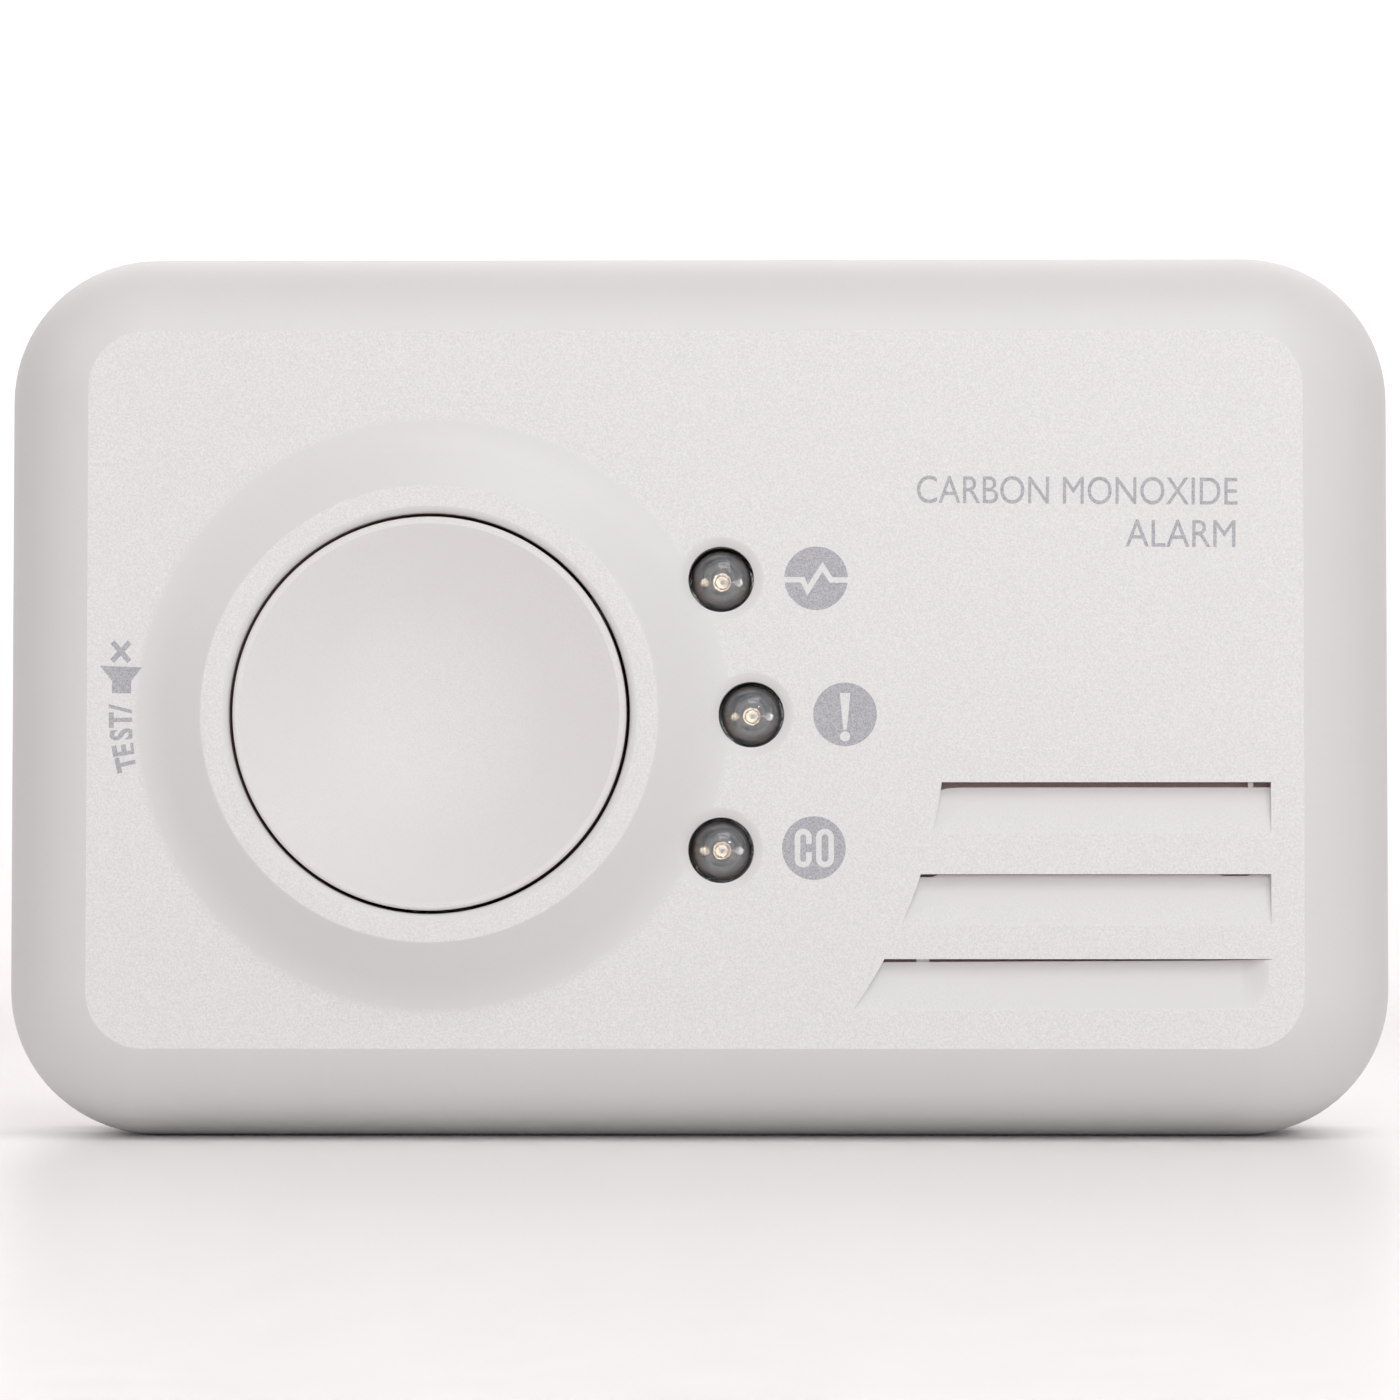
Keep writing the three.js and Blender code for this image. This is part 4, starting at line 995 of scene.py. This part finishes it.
def icon(name, cut_outs):
    """A grey disc with a sign left out of it."""
    centre = x, z = np.array(ICONS[name])
    zones = [(circle(centre, ICON_R, 72), INK_TOP_Y, INK_UNDER_Y)]
    zones += [(loop + centre, None, None) for loop in cut_outs]
    plate(f"icon_{name}", INK, (x - 4, x + 4, z - 4, z + 4), zones, -1)


def band_along(path, width):
    """The outline of a line of even width through a path of points, with mitred corners."""
    path = np.array(path, float)
    ways = np.diff(path, axis=0)
    ways /= np.linalg.norm(ways, axis=1, keepdims=True)
    sides = np.stack([-ways[:, 1], ways[:, 0]], 1)
    offsets = [sides[0]]
    for a, b in zip(sides[:-1], sides[1:]):
        offsets.append((a + b) / (1 + a @ b))
    offsets.append(sides[-1])
    offsets = np.array(offsets) * width / 2
    return np.vstack([path + offsets, (path - offsets)[::-1]])


def stadium(x, z, half_width, half_height, steps=16):
    """A tall loop with round ends."""
    reach = half_height - half_width
    upper = arc(x, z + reach, half_width, half_width, 0, 180, steps)
    lower = arc(x, z - reach, half_width, half_width, 180, 360, steps)
    return np.vstack([upper, lower])


def letter_c(x, half_width, half_height, stroke):
    """A condensed C, open to the right."""
    inner, gap = half_width - stroke, 0.34
    right, left = x + half_width, x + inner
    outer = stadium(x, 0.0, half_width, half_height)
    hollow = stadium(x, 0.0, inner, half_height - stroke, steps=12)[::-1]
    return np.vstack([[(right, gap)], outer, [(right, -gap), (left, -gap)], hollow, [(left, gap)]])


def icons():
    """A pulse line, an exclamation mark and CO, whose O has a counter of its own."""
    pulse = [(-3, -0.12), (-1.12, -0.12), (-0.7, -0.97), (0.53, 0.95), (1.25, -0.14), (3, -0.14)]
    icon("power", [band_along(pulse, 0.45)])
    mark = np.array([(-0.44, 1.77), (0.44, 1.77), (0.14, -1.27), (-0.14, -1.27)])
    icon("fault", [mark, circle((0, -1.82), 0.42, 24)])
    icon("alarm", [letter_c(-0.88, 0.7, 1.6, 0.46), stadium(0.92, 0.0, 0.74, 1.6)])
    centre = x, z = np.array(ICONS["alarm"])
    counter = stadium(0.92, 0.0, 0.28, 1.14) + centre
    around = (x - 2, x + 3, z - 2, z + 2)
    plate("icon_alarm_counter", INK, around, [(counter, INK_TOP_Y, INK_UNDER_Y)], -1)


def mute_sign():
    """A loudspeaker on its side, which reaches onto the fade of the ring, and the cross above it."""
    x, top = -47.54, MID_Z + 1.86
    cross, arm, stroke = np.array([x, top + 1.23]), 1.07, 0.44

    def on_ring(x, z):
        return face_level(x, z) + INK_TOP_Y - FACE_Y

    zones = []
    for turn in np.radians((47, -49)):
        along = arm * np.array([math.cos(turn), math.sin(turn)])
        zones.append((band_along([cross + along, cross - along], stroke), INK_TOP_Y, INK_UNDER_Y))
    funnel = [(-1.73, 0.06), (-0.72, -1.2), (-0.72, -2.22), (0.86, -2.22), (0.88, -1.2), (1.76, -0.08)]
    zones.append((np.array(funnel) + (x, top), on_ring, INK_UNDER_Y))
    bend_points = np.mgrid[x - 1.5:x + 1.8:0.5, top - 2:top:0.5].reshape(2, -1).T
    plate("mute_sign", INK, (x - 3, x + 3, top - 4, top + 4), zones, -1, [bend_points])


def test_label():
    """The word by the button, read upwards. A letter leans more the further down it stands."""
    letters = [("T", 0.13), ("E", 1.19), ("S", 2.44), ("T", 3.59), ("/", 4.45)]
    bend, foot, foot_x, foot_z = 17.0, 3.6, -46.64, MID_Z - 2.25
    size, squeeze, bold = 2.62, 0.77, 0.09
    for k, (letter, along) in enumerate(letters):
        lean = (foot - along) / bend + math.radians(1)
        x = foot_x + 1.35 * bend * (1 - math.cos(lean))
        z = foot_z - bend * math.sin(lean)
        words(f"print_test_{k}", letter, size, x, z, math.pi / 2 + lean, squeeze, "CENTER", bold)


def words(name, text, size, x, z, turn, squeeze, align="RIGHT", bold=0.0):
    """Printed lettering whose baseline starts or ends at (x, z)."""
    curve = bpy.data.curves.new(name, "FONT")
    curve.body = text
    curve.size = size * MM
    curve.align_x = align
    curve.offset = bold * MM
    curve.extrude = (INK_UNDER_Y - INK_TOP_Y) / 2 * MM
    maker = put(name + "_curve", curve)
    bpy.context.view_layer.update()
    mesh = bpy.data.meshes.new_from_object(maker)
    bpy.data.objects.remove(maker)
    mesh.transform(
        Matrix.Translation(Vector((x, (INK_TOP_Y + INK_UNDER_Y) / 2, z)) * MM)
        @ Matrix.Rotation(-turn, 4, "Y")
        @ Matrix.Rotation(math.pi / 2, 4, "X")
        @ Matrix.Diagonal((squeeze, 1, 1, 1))
    )
    mesh.materials.clear()
    mesh.materials.append(INK)
    piece = put(name, mesh)
    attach(piece, "case")


# ---- pieces that CAD already shapes ----


def finish_inner_nodes():
    looks = [
        (BLACK, "test_switch_base test_switch_plunger controller_chip co_sensor_cap sounder_housing"),
        (BOARD, "main_pcb"), (SLEEVE, "reservoir_capacitor"), (COPPER, "boost_coil"),
        (CAN_METAL, "crystal_can co_sensor_can"), (CELL, "battery_cell_lower battery_cell_upper"),
        (FOAM, "sounder_gasket"), (BRASS, "sounder_plate"), (CERAMIC, "sounder_ceramic"),
        (NICKEL, "terminal_plate_negative terminal_plate_positive terminal_spring_negative"),
        (NICKEL, "link_plate link_spring"), (ZINC, "pcb_screw_1 pcb_screw_2 pcb_screw_3"),
        (ZINC, "case_screw_1 case_screw_2 case_screw_3 case_screw_4"),
    ]
    for look, names in looks:
        for name in names.split():
            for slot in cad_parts[name].material_slots:
                slot.material = look


# ---- stage ----


def backdrop():
    """A pale floor that curves up behind the object."""
    look = plain("studio_floor", (0.935, 0.92, 0.92), 0.35, grain=4.0, vary=0.01)
    start, bend = 0.5, 0.5
    profile = [(-5.0, 0.0), (start, 0.0)]
    for a in np.radians(np.linspace(6, 90, 15)):
        profile.append((start + bend * math.sin(a), bend - bend * math.cos(a)))
    profile.append((start + bend, 2.4))
    mesh = bpy.data.meshes.new("backdrop")
    points = [(x, y, z) for y, z in profile for x in (-4.0, 4.0)]
    faces = [(2 * k, 2 * k + 1, 2 * k + 3, 2 * k + 2) for k in range(len(profile) - 1)]
    mesh.from_pydata(points, [], faces)
    mesh.polygons.foreach_set("use_smooth", [True] * len(faces))
    mesh.materials.append(look)
    put("backdrop", mesh)


def area_light(name, place, aim, size, power, colour=(1, 1, 1)):
    data = bpy.data.lights.new(name, "AREA")
    data.shape = "RECTANGLE"
    data.size, data.size_y = size
    data.energy = power
    data.color = colour
    lamp = put(name, data)
    lamp.location = place
    lamp.rotation_euler = (Vector(aim) - Vector(place)).to_track_quat("-Z", "Y").to_euler()


def lights():
    world = bpy.data.worlds.new("studio")
    world.use_nodes = True
    nodes, links = world.node_tree.nodes, world.node_tree.links
    place = nodes.new("ShaderNodeTexCoord")
    split = nodes.new("ShaderNodeSeparateXYZ")
    glow = nodes.new("ShaderNodeValToRGB")
    set_stops(glow, [(0.0, 0.85), (0.16, (0.43, 0.4, 0.4))])
    links.new(place.outputs["Generated"], split.inputs["Vector"])
    links.new(split.outputs["Z"], glow.inputs["Fac"])
    links.new(glow.outputs["Color"], nodes["Background"].inputs["Color"])
    bpy.context.scene.world = world
    middle = (0, 0, MID_Z * MM)
    area_light("front_box", (0.12, -1.06, 0.27), middle, (0.5, 0.4), 2.65, (0.97, 1, 1))
    area_light("top_box", (0.18, -0.55, 1.0), middle, (0.8, 0.5), 3.9)
    area_light("left_fill", (-1.0, -0.35, 0.65), middle, (0.6, 0.6), 0.9, (1, 0.93, 0.93))
    area_light("glint", (0.5, -0.72, 0.55), middle, (0.12, 0.1), 0.8)
    area_light("backdrop_light", (0, 0.45, 1.0), (0, 1.2, 0.9), (1.6, 0.4), 10.0)


def camera():
    """In front of the face, a little to its right and below it, looking slightly up and to the left."""
    data = bpy.data.cameras.new("camera")
    data.sensor_width = 36.0
    data.lens = 106.1
    data.shift_x, data.shift_y = -0.0573, 0.0517
    data.clip_start = 0.01
    seat = put("camera", data)
    seat.location = Vector((10.66, -354.8, 20.25)) * MM
    seat.rotation_euler = [math.radians(angle) for angle in (91.75, 0, 0.6)]
    bpy.context.scene.camera = seat


# ---- everything ----

front_cover()
rear_cover()
battery_door()
blank_label()
test_button()
for lamp_name in LEDS:
    led(lamp_name)
icons()
mute_sign()
test_label()
words("print_title_1", "CARBON MONOXIDE", TITLE_SIZE, 44.98, MID_Z + 15.2, PRINT_TURN, 0.83)
words("print_title_2", "ALARM", TITLE_SIZE, 44.94, MID_Z + 11.68, PRINT_TURN, 0.885)
finish_inner_nodes()
backdrop()
lights()
camera()
bpy.context.scene.view_settings.view_transform = "Standard"
